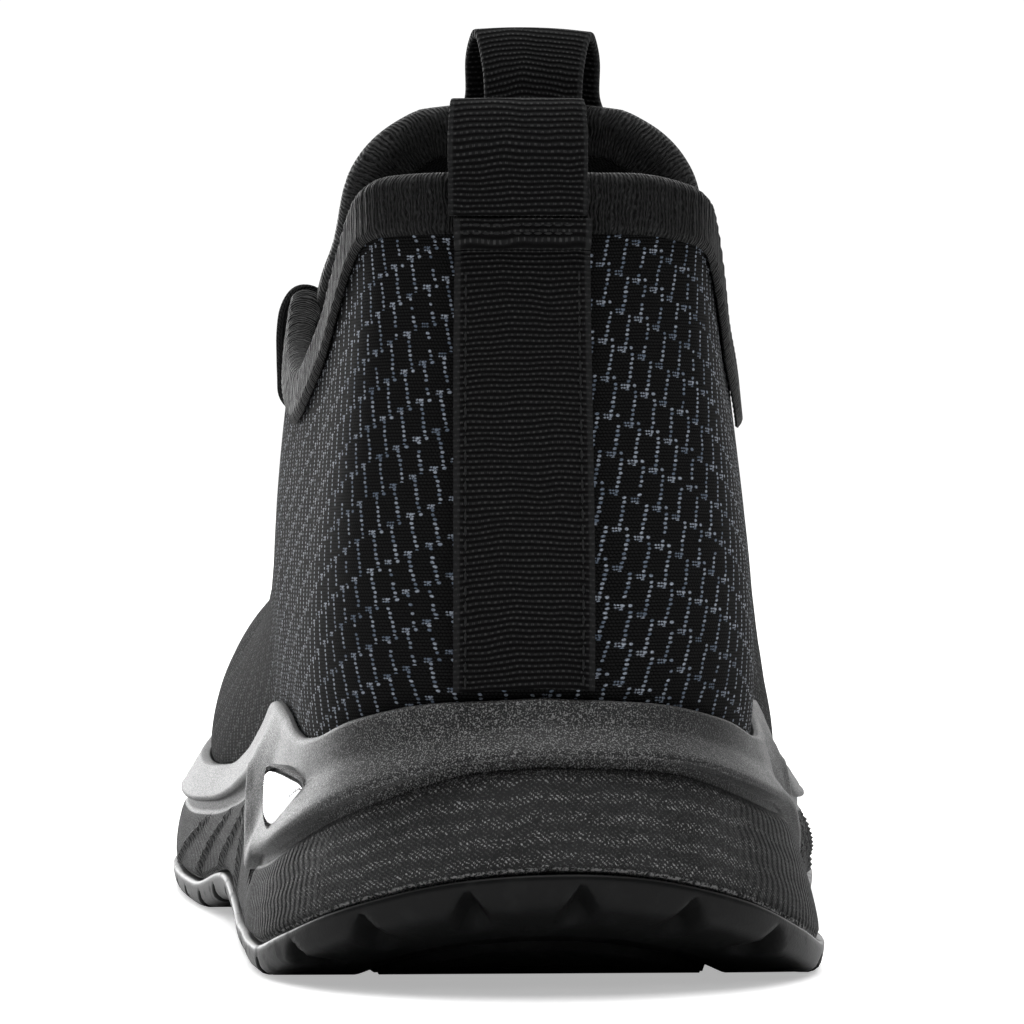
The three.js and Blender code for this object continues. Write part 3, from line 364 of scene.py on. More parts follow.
def under(s, distance):
    """Share of a section that lies a distance under its top"""
    _, _, high, end = control(np.asarray(s, float))
    return 1 - distance / (3 * np.linalg.norm(end - high, axis=-1))


def one_under(s, distance):
    return float(under(np.array([s]), distance)[0])


def skin(s, up):
    """Outside of the upper: up is -1 at its lower edge, 0 at the rim of the sole and 1 at the top"""
    s, up = np.broadcast_arrays(np.asarray(s, float), np.asarray(up, float))
    a, b, c, d = control(s)
    t = np.clip(up, 0, None)[..., None]
    body = a * (1 - t) ** 3 + 3 * b * (1 - t) ** 2 * t + 3 * c * (1 - t) * t**2 + d * t**3
    low = beside(s, -TUCK, bed_z(s) + GAP)
    return np.where((up < 0)[..., None], a + (low - a) * -np.clip(up, -1, 0)[..., None], body)


def skin_normal(s, up):
    s, up = np.broadcast_arrays(np.asarray(s, float), np.asarray(up, float))

    def one(s):
        across = skin(np.clip(s + 0.002, -1, 1), up) - skin(np.clip(s - 0.002, -1, 1), up)
        rise = skin(s, np.minimum(up + 0.002, 1)) - skin(s, np.maximum(up - 0.002, -1))
        normal = np.cross(across, rise)
        return normal / np.maximum(np.linalg.norm(normal, axis=-1, keepdims=True), 1e-9)

    seam = (abs(s) > 0.999) | ((up > 0.999) & (abs(s) >= THROAT))
    both = one(s) + one(-s)
    both /= np.maximum(np.linalg.norm(both, axis=-1, keepdims=True), 1e-9)
    return np.where(seam[..., None], both, one(s))


def off_skin(s, up, distance):
    return skin(s, up) + skin_normal(s, up) * np.asarray(distance)[..., None]


print("heel top at", off_skin(0.0, 1.0, 0.0).round(1))

# %% [markdown]
# ## Laying a grid over a shape
#
# Most pieces of a shoe are cut flat and pulled over a last. The helper below does the same: it
# starts from Blender's flat grid, moves each vertex to its place on the shoe, and keeps the
# distances along the cloth in the UV map, in millimetres. A weave then has its true scale
# everywhere, without any image.

# %% Helpers for grids and pieces
pieces = {}


def smooth_all(bm):
    for face in bm.faces:
        face.smooth = True


def drape(columns, rows, place, spread=None, reference=0.5):
    """A grid whose columns run round the shoe and whose rows run up it"""
    bm = bmesh.new()
    bmesh.ops.create_grid(bm, x_segments=columns, y_segments=rows, size=0.5)
    at = np.array([v.co[:2] for v in bm.verts]) + 0.5
    points = place(at[:, 0] if spread is None else np.interp(at[:, 0], *spread), at[:, 1])
    i, j = (np.rint(at[:, k] * n).astype(int) for k, n in ((0, columns), (1, rows)))
    net = np.zeros((columns + 1, rows + 1, 3))
    net[i, j] = points
    run = np.linalg.norm(np.diff(net, axis=0), axis=2)[:, int(reference * rows)]
    run = np.concatenate([[0], np.cumsum(run)])
    run -= run[columns // 2]
    rise = np.pad(np.cumsum(np.linalg.norm(np.diff(net, axis=1), axis=2), axis=1), ((0, 0), (1, 0)))
    row_of = bm.verts.layers.float.new("row")
    for vert, point, row in zip(bm.verts, points, j):
        vert.co = Vector((HEEL + point) * MM)
        vert[row_of] = float(row)
    layer = bm.loops.layers.uv.new("UVMap")
    bm.verts.index_update()
    smooth_all(bm)
    for face in bm.faces:
        for corner in face.loops:
            k = corner.vert.index
            corner[layer].uv = run[i[k]], rise[i[k], j[k]]
    bmesh.ops.remove_doubles(bm, verts=bm.verts, dist=2e-6)
    return bm


def piece_of(name, bm, finish, nodes=(), outward=False):
    """Turns a bmesh into a piece of the shoe that rides with it"""
    if outward:
        bmesh.ops.recalc_face_normals(bm, faces=bm.faces)
    mesh = bpy.data.meshes.new(name)
    bm.to_mesh(mesh)
    bm.free()
    mesh.materials.append(finish)
    piece = bpy.data.objects.new(name, mesh)
    bpy.context.scene.collection.objects.link(piece)
    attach(piece, "root")
    if nodes:
        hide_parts(*nodes)
    pieces[name] = piece
    print(f"{name}: {len(mesh.polygons)} faces")
    return piece


def thicken(piece, thickness, inside=None):
    """Gives a sheet its thickness, inwards, and the inside its own finish"""
    wall = piece.modifiers.new("wall", "SOLIDIFY")
    wall.thickness = thickness * MM
    wall.offset = -1
    if inside:
        piece.data.materials.append(inside)
        wall.material_offset = 1


# %% [markdown]
# ## Building materials with a few words
#
# Every finish is one Principled shader. Patterns such as a rib or a stitch are only arithmetic on
# the UV map. A wire stands for an output in a node tree, and arithmetic on wires adds the maths
# nodes, so that a pattern reads like a formula. Patterns that several finishes share are node
# groups, which give masks and heights and leave the shader alone.

# %% Wires and maths nodes
class Wire:
    """An output in a node tree. Arithmetic on it adds a maths node and gives the wire that leaves it"""

    def __init__(self, socket):
        self.socket = socket

    def __add__(self, other):
        return maths("ADD", self, other)

    def __sub__(self, other):
        return maths("SUBTRACT", self, other)

    def __rsub__(self, other):
        return maths("SUBTRACT", other, self)

    def __mul__(self, other):
        return maths("MULTIPLY", self, other)

    def __truediv__(self, other):
        return maths("DIVIDE", self, other)

    def __rtruediv__(self, other):
        return maths("DIVIDE", other, self)

    def __mod__(self, other):
        return maths("MODULO", self, other)

    def __abs__(self):
        return maths("ABSOLUTE", self)

    __radd__, __rmul__ = __add__, __mul__


def plug(value, socket):
    if isinstance(value, Wire):
        socket.id_data.links.new(value.socket, socket)
    else:
        socket.default_value = value


def add_node(kind, *values, **settings):
    """Adds a node beside the wires among the values, and plugs the values into its first sockets"""
    tree = next(v.socket.id_data for v in values if isinstance(v, Wire))
    node = tree.nodes.new(kind)
    for label, setting in settings.items():
        setattr(node, label, setting)
    for socket, value in zip(node.inputs, values):
        plug(value, socket)
    return node


def maths(operation, *values):
    return Wire(add_node("ShaderNodeMath", *values, operation=operation).outputs[0])


def sine(wire, period):
    return maths("SINE", wire * (2 * pi / period))


def swing(wire, period):
    """A sine wave that runs from 0 to 1"""
    return (sine(wire, period) + 1.0) * 0.5


def between(value, low, high, start=0.0, end=1.0):
    """Runs smoothly from start, where the value is low, to end, where it is high"""
    return Wire(add_node("ShaderNodeMapRange", value, low, high, start, end,
                         interpolation_type="SMOOTHSTEP").outputs[0])


# %% Vectors, noise, colours, groups and finishes
def vector_of(x, y, z=0.0):
    return Wire(add_node("ShaderNodeCombineXYZ", x, y, z).outputs[0])


def parts_of(vector):
    return [Wire(socket) for socket in add_node("ShaderNodeSeparateXYZ", vector).outputs]


def scaled_by(vector, factor):
    node = add_node("ShaderNodeVectorMath", vector, operation="SCALE")
    plug(factor, node.inputs["Scale"])
    return Wire(node.outputs[0])


def noise(vector, scale, detail=2.0):
    node = add_node("ShaderNodeTexNoise", vector)
    plug(scale, node.inputs["Scale"])
    plug(detail, node.inputs["Detail"])
    return Wire(node.outputs[0])


def white_noise(vector):
    """One fixed random number for each whole-numbered place"""
    return Wire(add_node("ShaderNodeTexWhiteNoise", vector).outputs[0])


def blend_colour(mask, one, two):
    node = add_node("ShaderNodeMix", mask, data_type="RGBA")
    for name, value in (("A_Color", one), ("B_Color", two)):
        plug(value, next(s for s in node.inputs if s.identifier == name))
    return Wire(next(s for s in node.outputs if s.identifier == "Result_Color"))


def grey(value, blue=1.04):
    return (value, value * (1 + (blue - 1) * 0.4), value * blue, 1)


def new_group(name, inputs, outputs):
    """A node group: its inputs as wires, and the sockets of its outputs, which are all numbers"""
    group = bpy.data.node_groups.new(name, "ShaderNodeTree")
    for label, kind in inputs.items():
        group.interface.new_socket(label, in_out="INPUT", socket_type="NodeSocket" + kind)
    for label in outputs:
        group.interface.new_socket(label, in_out="OUTPUT", socket_type="NodeSocketFloat")
    wires = {socket.name: Wire(socket) for socket in group.nodes.new("NodeGroupInput").outputs}
    return group, wires, group.nodes.new("NodeGroupOutput").inputs


def use_group(group, **values):
    """Puts a group beside the wires that it is given, and returns its outputs as wires"""
    tree = next(v.socket.id_data for v in values.values() if isinstance(v, Wire))
    node = tree.nodes.new("ShaderNodeGroup")
    node.node_tree = group
    for label, value in values.items():
        plug(value, node.inputs[label])
    return {socket.name: Wire(socket) for socket in node.outputs}


def dress(shader, **looks):
    """Sets or plugs the inputs of a shader, by their names"""
    for label, value in looks.items():
        plug(value, shader.inputs[label.replace("_", " ")])


def new_finish(name, **constants):
    """A material, its shader, and its distances along the cloth in millimetres"""
    material = bpy.data.materials.new(name)
    material.use_nodes = True
    shader = material.node_tree.nodes["Principled BSDF"]
    dress(shader, **constants)
    uv = material.node_tree.nodes.new("ShaderNodeUVMap")
    uv.uv_map = "UVMap"
    return material, shader, Wire(uv.outputs[0])


def relief(shader, height, distance):
    """Bump of a height given as a share of a distance in millimetres"""
    bump = shader.id_data.nodes.new("ShaderNodeBump")
    plug(distance * MM, bump.inputs["Distance"])
    plug(1.0, bump.inputs["Strength"])
    plug(height, bump.inputs["Height"])
    plug(Wire(bump.outputs[0]), shader.inputs["Normal"])


def object_mm(shader):
    """Object coordinates in millimetres"""
    coords = shader.id_data.nodes.new("ShaderNodeTexCoord")
    return scaled_by(Wire(coords.outputs["Object"]), 1 / MM)


# %% [markdown]
# ## Moulded rubber and foam
#
# The sole is moulded, so its grain comes from the mould: fine blasting on the smooth band, wavy
# ripples and woven dots on the side wall, and almost nothing on the rubber below. One group gives
# the blasted grain to all of them. The row numbers that the grid keeps tell the wall from the band.
# The bright woven dots and the bright flecks on the band are painted glints, and the flanks of the
# wall are painted darker as shade.

# %% Moulded grain
grain_group, g_in, g_out = new_group("moulded grain", {"Place": "Vector", "Pitch": "Float"}, ["Height"])
scaled = scaled_by(g_in["Place"], 1.0 / g_in["Pitch"])
plug(noise(scaled, 1.0) + noise(scaled, 2.7, 1.0) * 0.5, g_out["Height"])

# %% Foam of the midsole
foam, shader, uv = new_finish("sole foam", Roughness=0.4, Specular_IOR_Level=0.22)
row_number = shader.id_data.nodes.new("ShaderNodeAttribute")
row_number.attribute_name = "row"
row = Wire(row_number.outputs["Fac"])
FIRST_WALL_ROW, ROW_HEIGHT, RIPPLE, DOT, DOT_ROW, DOT_BAND = 4.0, 1.3, 1.7, 0.86, 0.74, 3.1
u = parts_of(uv)[0]
v = (row - FIRST_WALL_ROW) * ROW_HEIGHT
mm = object_mm(shader)
textured = between(row, 4.25, 4.5) * between(row, 15.7, 15.3)
on_flank = between(abs(u + 3.0), 28.0, 47.0)
wave = noise(vector_of(u * 0.05, v * 0.13), 1.0) * 3.0 + maths("SINE", v * 1.25) * 0.3
ripple = swing(u + wave, RIPPLE) * on_flank
jitter = noise(mm, 1.1, 1.0)
cross = sine(u + jitter * 2.0, DOT) * sine(v - jitter * 1.6, DOT_ROW)
drift = noise(vector_of(u * 0.16, v * 0.05), 1.0) * 3.6
# Painted glint: the woven dots are real relief, but they are also painted bright, in lit rows and at random
# specks, and less on the flanks, where little light falls.
lit_rows = between(sine(v + drift, DOT_BAND), -0.7, 0.9, 0.2, 1.0)
glint_speckle = between(noise(mm, 2.9), 0.42, 0.62, 0.05, 1.0)
dots = between(cross, 0.05, 0.7) * (lit_rows * glint_speckle) * textured * (1.0 - on_flank * 0.8)
hem = between(row, 4.02, 4.16) * between(row, 4.62, 4.36) * between(noise(mm, 2.0), 0.45, 0.58)
grains = use_group(grain_group, Place=mm, Pitch=0.3)["Height"]
relief(shader, (ripple * 1.2 + cross * 0.16) * textured + grains * 0.2, 0.34)

# %% Tones of the foam
tone = blend_colour(between(noise(mm, 0.09, 3.0), 0.35, 0.65), grey(0.010), grey(0.018))
# Painted highlight on the smooth band: bright glinting flecks, strongest in the middle of the back, where the
# light from above falls on it.
highlight_middle = between(abs(u + 6.0), 46.0, 14.0, 0.3, 1.0)
painted_glint_flecks = between(noise(mm, 4.2), 0.48, 0.68) * (highlight_middle * (1.0 - textured))
tone = blend_colour(painted_glint_flecks * 0.8, tone, grey(0.27, 1.0))
# Painted shade: on the flanks the textured wall is painted darker, except on the crests of the ripples.
tone = blend_colour((on_flank - ripple) * (textured * 0.7), tone, grey(0.006))
# Painted glints on the woven dots of the wall.
tone = blend_colour(dots, tone, grey(0.34, 1.0))
gloss = between(grains, 0.5, 1.0, 0.36, 0.6) + on_flank * textured * 0.25
dress(shader, Base_Color=blend_colour(hem, tone, grey(0.3, 1.0)), Roughness=gloss)

# %% Rubber of the outsole
rubber, shader, uv = new_finish("outsole rubber", Roughness=0.4, Specular_IOR_Level=0.13)
mm = object_mm(shader)
scuff = between(noise(mm, 0.25, 5.0), 0.5, 0.72)
dress(shader, Base_Color=blend_colour(scuff * 0.35, grey(0.006), grey(0.02)),
      Roughness=between(scuff, 0.0, 1.0, 0.36, 0.52))
relief(shader, use_group(grain_group, Place=mm, Pitch=0.45)["Height"] * 0.5, 0.06)

# %% [markdown]
# ## The midsole
#
# The midsole is one block of foam. From below it has a textured wall, a dark groove, a smooth
# concave band that runs out into a sharp fin on each flank, and a rim that the upper sits in. Its
# profile changes all the way round, so it is a grid draped over the tables: columns round the foot
# and rows up the profile, closed along the middle at the bottom and in the footbed.

# %% Profile of the midsole
WALL_ROWS = np.linspace(0, 1, 13)
BAND_ROWS = np.array([0.0, 0.03, 0.07, 0.14, 0.24, 0.36, 0.48, 0.6, 0.72, 0.84, 0.93, 0.97])
VEINS = ((0.36, 0.285), (0.44, 0.35), (0.52, 0.425), (0.6, 0.505))
WAIST, VEIN_HALF = 0.55, 1.25


def bump(share, middle, half):
    return np.exp(-((share - middle) / half) ** 2)


def band(s, share):
    start, end = flare(s, "lip"), flare(s, "band")
    upward = (share - WAIST) / (1 - WAIST)
    out = np.where(upward < 0, start + (end - start) * share / WAIST, end + (RIM_WIDTH - end) * upward)
    soft = -0.35 * bump(share, WAIST, 0.12) - 0.5 * np.exp(-share / 0.02)
    bead = 0.42 * bump(share, 0.12, 0.07) + 0.3 * bump(share, 0.93, 0.05)
    return beside(s, out + soft + bead, lip_z(s) + (rim_z(s) - lip_z(s)) * share)


def wall(s, share):
    base = beside(s, base_out(s) - 0.5, 0)
    base[..., 2] = tread_z(base[..., 0], base[..., 1]) + OUTSOLE + GAP
    head = beside(s, flare(s, "wall"), lip_z(s) - GROOVE)
    point = base + (head - base) * np.asarray(share)[..., None]
    out = 0.45 * np.sin(pi * share) - 0.8 * np.exp(-share / 0.05) - 0.5 * np.exp((share - 1) / 0.05)
    for start, end in VEINS:
        line = start + (end - start) * np.clip((share - 0.04) / 0.92, 0, 1) ** (1 / 0.85)
        away = (abs(s) - line) * HALF_ROUND * 0.75
        out = out + bump(away, 0, VEIN_HALF) * np.sin(pi * np.clip(share, 0, 1)) ** 0.35
    return point + foot(s)[1] * out[..., None]


def groove(s, lift):
    depth = 1.8 * read(FLANK, abs(s), "groove")
    return beside(s, flare(s, "wall") - depth, lip_z(s) - GROOVE * lift)


def to_middle(point, share):
    """Draws a place on one flank towards the middle of the sole"""
    middle = point.copy()
    middle[..., 0] = 0
    return point + (middle - point) * share


def rows_of(make, values):
    """One row of a grid for each value"""
    return [lambda s, value=value: make(s, value) for value in values]


SOLE_ROWS = rows_of(lambda s, k: to_middle(wall(s, 0), k), (1, 0.75, 0.5, 0.25))
SOLE_ROWS += rows_of(wall, WALL_ROWS) + rows_of(groove, (0.95, 0.75, 0.45, 0.15, 0.02))
SOLE_ROWS += rows_of(band, BAND_ROWS)
SOLE_ROWS += rows_of(lambda s, out: beside(s, out, rim_z(s) - 0.1), (1.2, 0.95, 0.6, 0.4))
SOLE_ROWS += rows_of(lambda s, out: beside(s, out, (rim_z(s) + bed_z(s)) / 2), (-1.3,))
SOLE_ROWS += rows_of(lambda s, k: to_middle(beside(s, GAP + 0.05 - TUCK, bed_z(s)), k), (0, 0.3, 0.6, 1))
print("rows of the midsole:", len(SOLE_ROWS))


def in_rows(rows):
    """A place function from a list of rows, each a function of s"""

    def place(s, v):
        k = np.rint(v * (len(rows) - 1)).astype(int)
        out = np.zeros((len(s), 3))
        for n, row in enumerate(rows):
            out[k == n] = row(s[k == n])
        return out

    return place


ROUND = (np.array([0, 1]), np.array([-1, 1]))
bm = drape(880, len(SOLE_ROWS) - 1, in_rows(SOLE_ROWS), ROUND, 0.2)
piece_of("midsole_foam", bm, foam, ["midsole"], outward=True)

# %% [markdown]
# ## The outsole
#
# Under the foam is a thin plate of black rubber. Its side is a smooth band, and its underside is
# cut into lugs by chevron slots and by one slot that follows the edge. Boolean cuts would do, but
# the slots are shallow, so the fine grid of the underside is simply raised wherever a slot runs,
# which also gives the slots the slanting walls that let a moulding out of its mould.

# %% Slots and notches of the tread
PITCH, SLOT, DEPTH, SLOT_IN, HEEL_FREE, TOE_FREE = 16.5, 3.0, 2.8, 16.5, 22, 8
MIDDLE_IN, FAR_IN = 19.5, 25.0
NOTCHES = (-38.5, -24.8, -9.8, 5.0, 20.1, 34.5)


def step(value, soft=0.5):
    return np.clip(0.5 - value / (2 * soft), 0, 1)


def slot_mask(s, x, y, inward):
    """1 inside a slot of the tread and 0 on a lug"""
    line = (y - PITCH / 3 + 2 * PITCH / 3 * abs(x) / (OUTER + 2 * FLARE)) / PITCH
    away = abs(line - np.rint(line)) * PITCH
    chevron = step(away - SLOT / 2) * (y > HEEL_FREE) * (y < LENGTH - TOE_FREE)
    border = step(abs(inward - SLOT_IN) - SLOT / 2)
    arc = s * HALF_ROUND
    notch = np.zeros_like(arc)
    for at in NOTCHES:
        notch = np.maximum(notch, 1.15 * np.clip(1.1 - abs(arc - at) / 2.3, 0, 1) * (inward < 7))
    return np.maximum(np.maximum(chevron, border), notch)


def tread(inward, lift):
    """Row of the outsole at a distance in from its edge"""

    def row(s):
        point = beside(s, base_out(s) - inward, 0)
        ground = tread_z(point[..., 0], point[..., 1])
        cut = DEPTH * slot_mask(s, point[..., 0], point[..., 1], np.full_like(s, inward))
        point[..., 2] = ground + np.maximum(lift, cut) if lift < DEPTH else ground + lift
        return point

    return row


def tread_middle(share):
    inner_row = tread(MIDDLE_IN, 0.0)

    def row(s):
        point = to_middle(inner_row(s), share)
        cut = DEPTH * slot_mask(s, point[..., 0], point[..., 1], np.full_like(s, FAR_IN))
        point[..., 2] = tread_z(point[..., 0], point[..., 1]) + cut
        return point

    return row


SIDE_SECTION = ((2.4, 0), (1.5, 0.25), (0.8, 0.8), (0.45, 1.5), (0.2, 2.4), (0.05, 3.3), (0.0, 4.0),
                (0.25, 4.45), (1.0, OUTSOLE), (6, OUTSOLE))
RUBBER_ROWS = [tread_middle(k / 10) for k in range(10, 0, -1)]
RUBBER_ROWS += [tread(k, 0) for k in (MIDDLE_IN, 18.5, 17.8, 16.5, 15.2, 14.5, 12, 9.5, 7.2, 6.6, 5, 3.6)]
RUBBER_ROWS += [tread(inward, lift) for inward, lift in SIDE_SECTION]
RUBBER_ROWS += rows_of(lambda s, k: to_middle(tread(6, OUTSOLE)(s), k), (0.5, 1))
bm = drape(880, len(RUBBER_ROWS) - 1, in_rows(RUBBER_ROWS), ROUND, 0.8)
piece_of("outsole_rubber", bm, rubber, ["outsole"], outward=True)

# %% [markdown]
# ## The knit
#
# The upper is a jacquard knit: a black ground of small stitches, with one grey-blue yarn that comes
# to the surface in slanting ladders of single stitches, each ladder ending in a small cluster. The
# pattern is built from the distances in the UV map, a column at a time, and mirrored at the heel.

# %% Jacquard pattern as a node group
COLUMN, LADDER, STITCH, LADDER_FALL = 3.35, 5.6, 0.66, 1.25
GROUND_WIDE, GROUND_HIGH = 0.56, 0.48
knit_group, k_in, k_out = new_group("jacquard knit", {"Cloth": "Vector"}, ["Yarn", "Height", "Tone"])


def floor_of(wire):
    return maths("FLOOR", wire)


def fraction_of(wire):
    return maths("FRACT", wire)


def either(mask, one, two):
    return mask * one + (1.0 - mask) * two


def dash(dx, dy, slant, long, wide):
    """Soft slanted dash round a point, 1 in its middle"""
    a = (dx + dy * slant) / long
    b = (dy - dx * (slant * 0.5)) / wide
    return between(maths("SQRT", a * a + b * b), 1.15, 0.6)


u, v, _ = parts_of(k_in["Cloth"])
u = u + (noise(vector_of(u, v), 0.35) - 0.5) * 0.9
column = floor_of(u / COLUMN)
x = u - column * COLUMN
turn = (abs(column + 0.5) * -LADDER_FALL + v * -1.0) / LADDER
y = fraction_of(turn + 64.0) * LADDER
left = maths("LESS_THAN", u, 0.0)
path = either(left, 0.85 + y * 0.25, 2.75 - y * 0.27)
order = floor_of(y / STITCH)
zigzag = (order % 2.0) * 2.0 - 1.0
runs = dash(x - (path + zigzag * 0.06), y - order * STITCH - STITCH / 2, zigzag * 0.55, 0.36, 0.25)
print("ladders:", len(knit_group.nodes), "nodes")

# %% Clusters of stitches, and the ground of the knit
chance = white_noise(vector_of(column, floor_of(turn), order))
fine = noise(vector_of(u, v), 5.0, 1.0)
cx, cy = x - either(left, 0.75, 0.85), y - either(left, 0.45, 5.05)
inside = between(abs(cx), 0.78, 0.68) * between(abs(cy), 0.52, 0.44)
knot = dash(fraction_of(cx / 0.46 + 32.5) - 0.5, fraction_of(cy / 0.42 + 32.0) - 0.5, 0.6, 0.52, 0.4)
cluster = inside * (knot * between(fine, 0.3, 0.45))
single = dash(cx - 1.75, cy + 0.1, 0.2, 0.36, 0.26)
rare = maths("GREATER_THAN", white_noise(vector_of(column, floor_of(turn), 7.0)), 0.35)
kept = maths("GREATER_THAN", chance, 0.06)
yarn = maths("MAXIMUM", runs * kept, maths("MAXIMUM", cluster, single * rare))
odd_row = floor_of(v / GROUND_HIGH) % 2.0
across = fraction_of(u / GROUND_WIDE + odd_row * 0.5 + 64.0) - 0.5
ground = dash(across, fraction_of(v / GROUND_HIGH + 64.0) - 0.5, 0.25, 0.52, 0.44)
plug(yarn, k_out["Yarn"])
plug(ground * 0.55 + yarn * 0.5, k_out["Height"])
plug(chance * fine, k_out["Tone"])
print("knit group:", len(knit_group.nodes), "nodes")

# %% Finishes of the knit and of its lining
# The third yarn colour is a painted highlight, for the yarn on the flanks.
YARN_DARK, YARN_LIGHT, YARN_FLANK_HIGHLIGHT = (0.14, 0.175, 0.23, 1), (0.36, 0.4, 0.47, 1), (0.42, 0.44, 0.48, 1)
knit, shader, uv = new_finish("black knit", Roughness=0.82, Specular_IOR_Level=0.04, Sheen_Weight=0.01,
                              Sheen_Roughness=0.4)
cloth = use_group(knit_group, Cloth=uv)
u = parts_of(uv)[0]
heel_yarn = blend_colour(between(cloth["Tone"], 0.1, 0.45), YARN_DARK, YARN_LIGHT)
# Painted highlight: the yarn is painted lighter on the flanks, where the light from the side grazes it, and
# less light towards the toe.
flank_yarn_highlight = blend_colour(between(abs(u), 95.0, 135.0), YARN_FLANK_HIGHLIGHT, grey(0.13))
yarn_tone = blend_colour(between(abs(u), 28.0, 50.0), heel_yarn, flank_yarn_highlight)
ground_tone = blend_colour(between(cloth["Height"], 0.05, 0.6), grey(0.0022), grey(0.0115))
dress(shader, Base_Color=blend_colour(cloth["Yarn"], ground_tone, yarn_tone))
relief(shader, cloth["Height"], 0.35)

lining, shader, uv = new_finish("lining mesh", Roughness=0.9, Specular_IOR_Level=0.03)
u, v, _ = parts_of(uv)
MESH = 1.3
holes = between(sine(u + v, MESH) * sine(u - v, MESH), -0.1, 0.5)
dress(shader, Base_Color=blend_colour(holes, grey(0.012), grey(0.0035)))
relief(shader, 1.0 - holes, 0.25)

# %% [markdown]
# ## The upper
#
# The knitted upper is lasted in one piece and glued into the rim of the sole. The grid follows the
# foot from the lower edge, up to the collar at the heel, to the throat, and over the toes, where
# both flanks meet and are merged. A Solidify modifier then adds the padded wall on the inside.

# %% Upper
def upper_place(s, v):
    up = np.where(v < 0.06, -1 + v / 0.06, (v - 0.06) / 0.94)
    point = skin(s, up)
    swell = 0.35 * np.sin(pi * np.clip(up, 0, 1)) * np.sin(s * 23 + up * 5) * (abs(s) < 0.45)
    return point + skin_normal(s, up) * (0.25 * swell)[..., None]


bm = drape(520, 84, upper_place, ROUND, 0.45)
upper = piece_of("knitted_upper", bm, knit, ["upper"])
thicken(upper, WALL, lining)

# %% [markdown]
# ## Ribbed bindings
#
# Raw edges of knit are bound with a folded strip of ribbed satin. Pulled round a curve it gathers
# into small ribs across the edge. The strip is a grid over the edge: its rows follow a U-shaped
# section, and the ribs come from the UV distance along the edge.

# %% Ribbed satin
rib_group, r_in, r_out = new_group("ribs", dict.fromkeys(("Along", "Across", "Pitch"), "Float"),
                                   ["Height", "Thread"])
along, across = r_in["Along"], r_in["Across"]
drift = noise(vector_of(along * 0.5, across * 0.22), 1.0)
phase = (along + drift * 1.6) / r_in["Pitch"]
strand = noise(vector_of(phase * 3.0, across * 0.8), 1.6)
plug(swing(phase, 1.0) * 0.8 + strand * 0.3, r_out["Height"])
plug(between(strand, 0.42, 0.7), r_out["Thread"])

satin, shader, uv = new_finish("ribbed satin", Roughness=0.5, Specular_IOR_Level=0.06, Sheen_Weight=0.01,
                               Sheen_Roughness=0.35)
u, v, _ = parts_of(uv)
ribs = use_group(rib_group, Along=u, Across=v, Pitch=0.62)
tone = blend_colour(between(ribs["Height"], 0.15, 0.95), grey(0.002), grey(0.013))
dress(shader, Base_Color=blend_colour(ribs["Thread"] * 0.5, tone, grey(0.05, 1.0)),
      Roughness=between(ribs["Height"], 0.1, 1.0, 0.7, 0.42))
relief(shader, ribs["Height"], 0.3)

# %% Collar binding
BIND_DEPTH, BIND_OUT, BIND_THICK, FACE, GATHER = 7.0, GAP + 1.2, 0.5, 0.36, 2.3


def share_down(v):
    return np.where(v < FACE, (FACE - v) / FACE, np.where(v > 1 - FACE, (v - 1 + FACE) / FACE, 0))


def folded(v, depth, out, wall, edge, low, normal):
    """A U-shaped section over an edge: v runs from the outer face over the top to the inner face"""
    rise = edge - low
    rise /= np.linalg.norm(rise, axis=-1, keepdims=True)
    angle = np.clip((v - FACE) / (1 - 2 * FACE), 0, 1) * pi
    radius = wall / 2 + out
    across = -wall / 2 + radius * np.cos(angle)
    up = radius * 0.75 * np.sin(angle)
    down = share_down(v)
    tuck = -0.9 * np.clip(down - 0.86, 0, 1) / 0.14 * np.where(v < 0.5, 1, -1)
    return edge - rise * (depth * down)[..., None] + rise * up[..., None] + normal * (across + tuck)[..., None]


def collar_place(s, v):
    edge = skin(s, 1.0)
    share = under(s, BIND_DEPTH)
    low = skin(s, share)
    down = share_down(v)
    normal = skin_normal(s, 1 + (share - 1) * down)
    at = skin(s, 1 + (share - 1) * down)
    flat = folded(v, BIND_DEPTH, BIND_OUT, WALL, edge, low, normal)
    straight = edge + (low - edge) * down[..., None]
    gather = 0.1 * np.sin(s * HALF_ROUND * 2 * pi / GATHER + 2 * np.sin(s * 60)) * (1 - 0.5 * abs(2 * v - 1))
    return flat + (at - straight) + normal * gather[..., None]


to_corner = (np.array([0, 1]), np.array([-CORNER + 0.004, CORNER - 0.004]))
bm = drape(760, 30, collar_place, to_corner, 0.3)
collar = piece_of("collar_binding_satin", bm, satin, ["collar_binding"])
thicken(collar, BIND_THICK)

# %% [markdown]
# ## The tongue
#
# The tongue lies under the quarters along the throat and stands up in an arch in front of the
# ankle. A coarse cage of a few rows shapes it, and a smooth curve through the cage along both ways
# gives the fine grid, which is the easiest way to a soft form that bends two ways.

# %% Cage of the tongue
TONGUE = table("edge back rise crown_back crown", """
.93 .2 .02 -.18 .36
.9 .34 .31 -.02 .55
.85 .43 .58 .12 .74
.79 .45 .72 .2 .85
.69 .445 .84 .245 .93
.56 .42 .94 .27 1""")
TONGUE_HEIGHT, TONGUE_HALF, TONGUE_THICK, TONGUE_SLIDE = 30, 31.5, 4, 1.8


def unit(a):
    return a / np.linalg.norm(a, axis=-1, keepdims=True)


def one_skin(s, up, out):
    return off_skin(np.array([s]), np.array([up]), np.array([out]))[0]


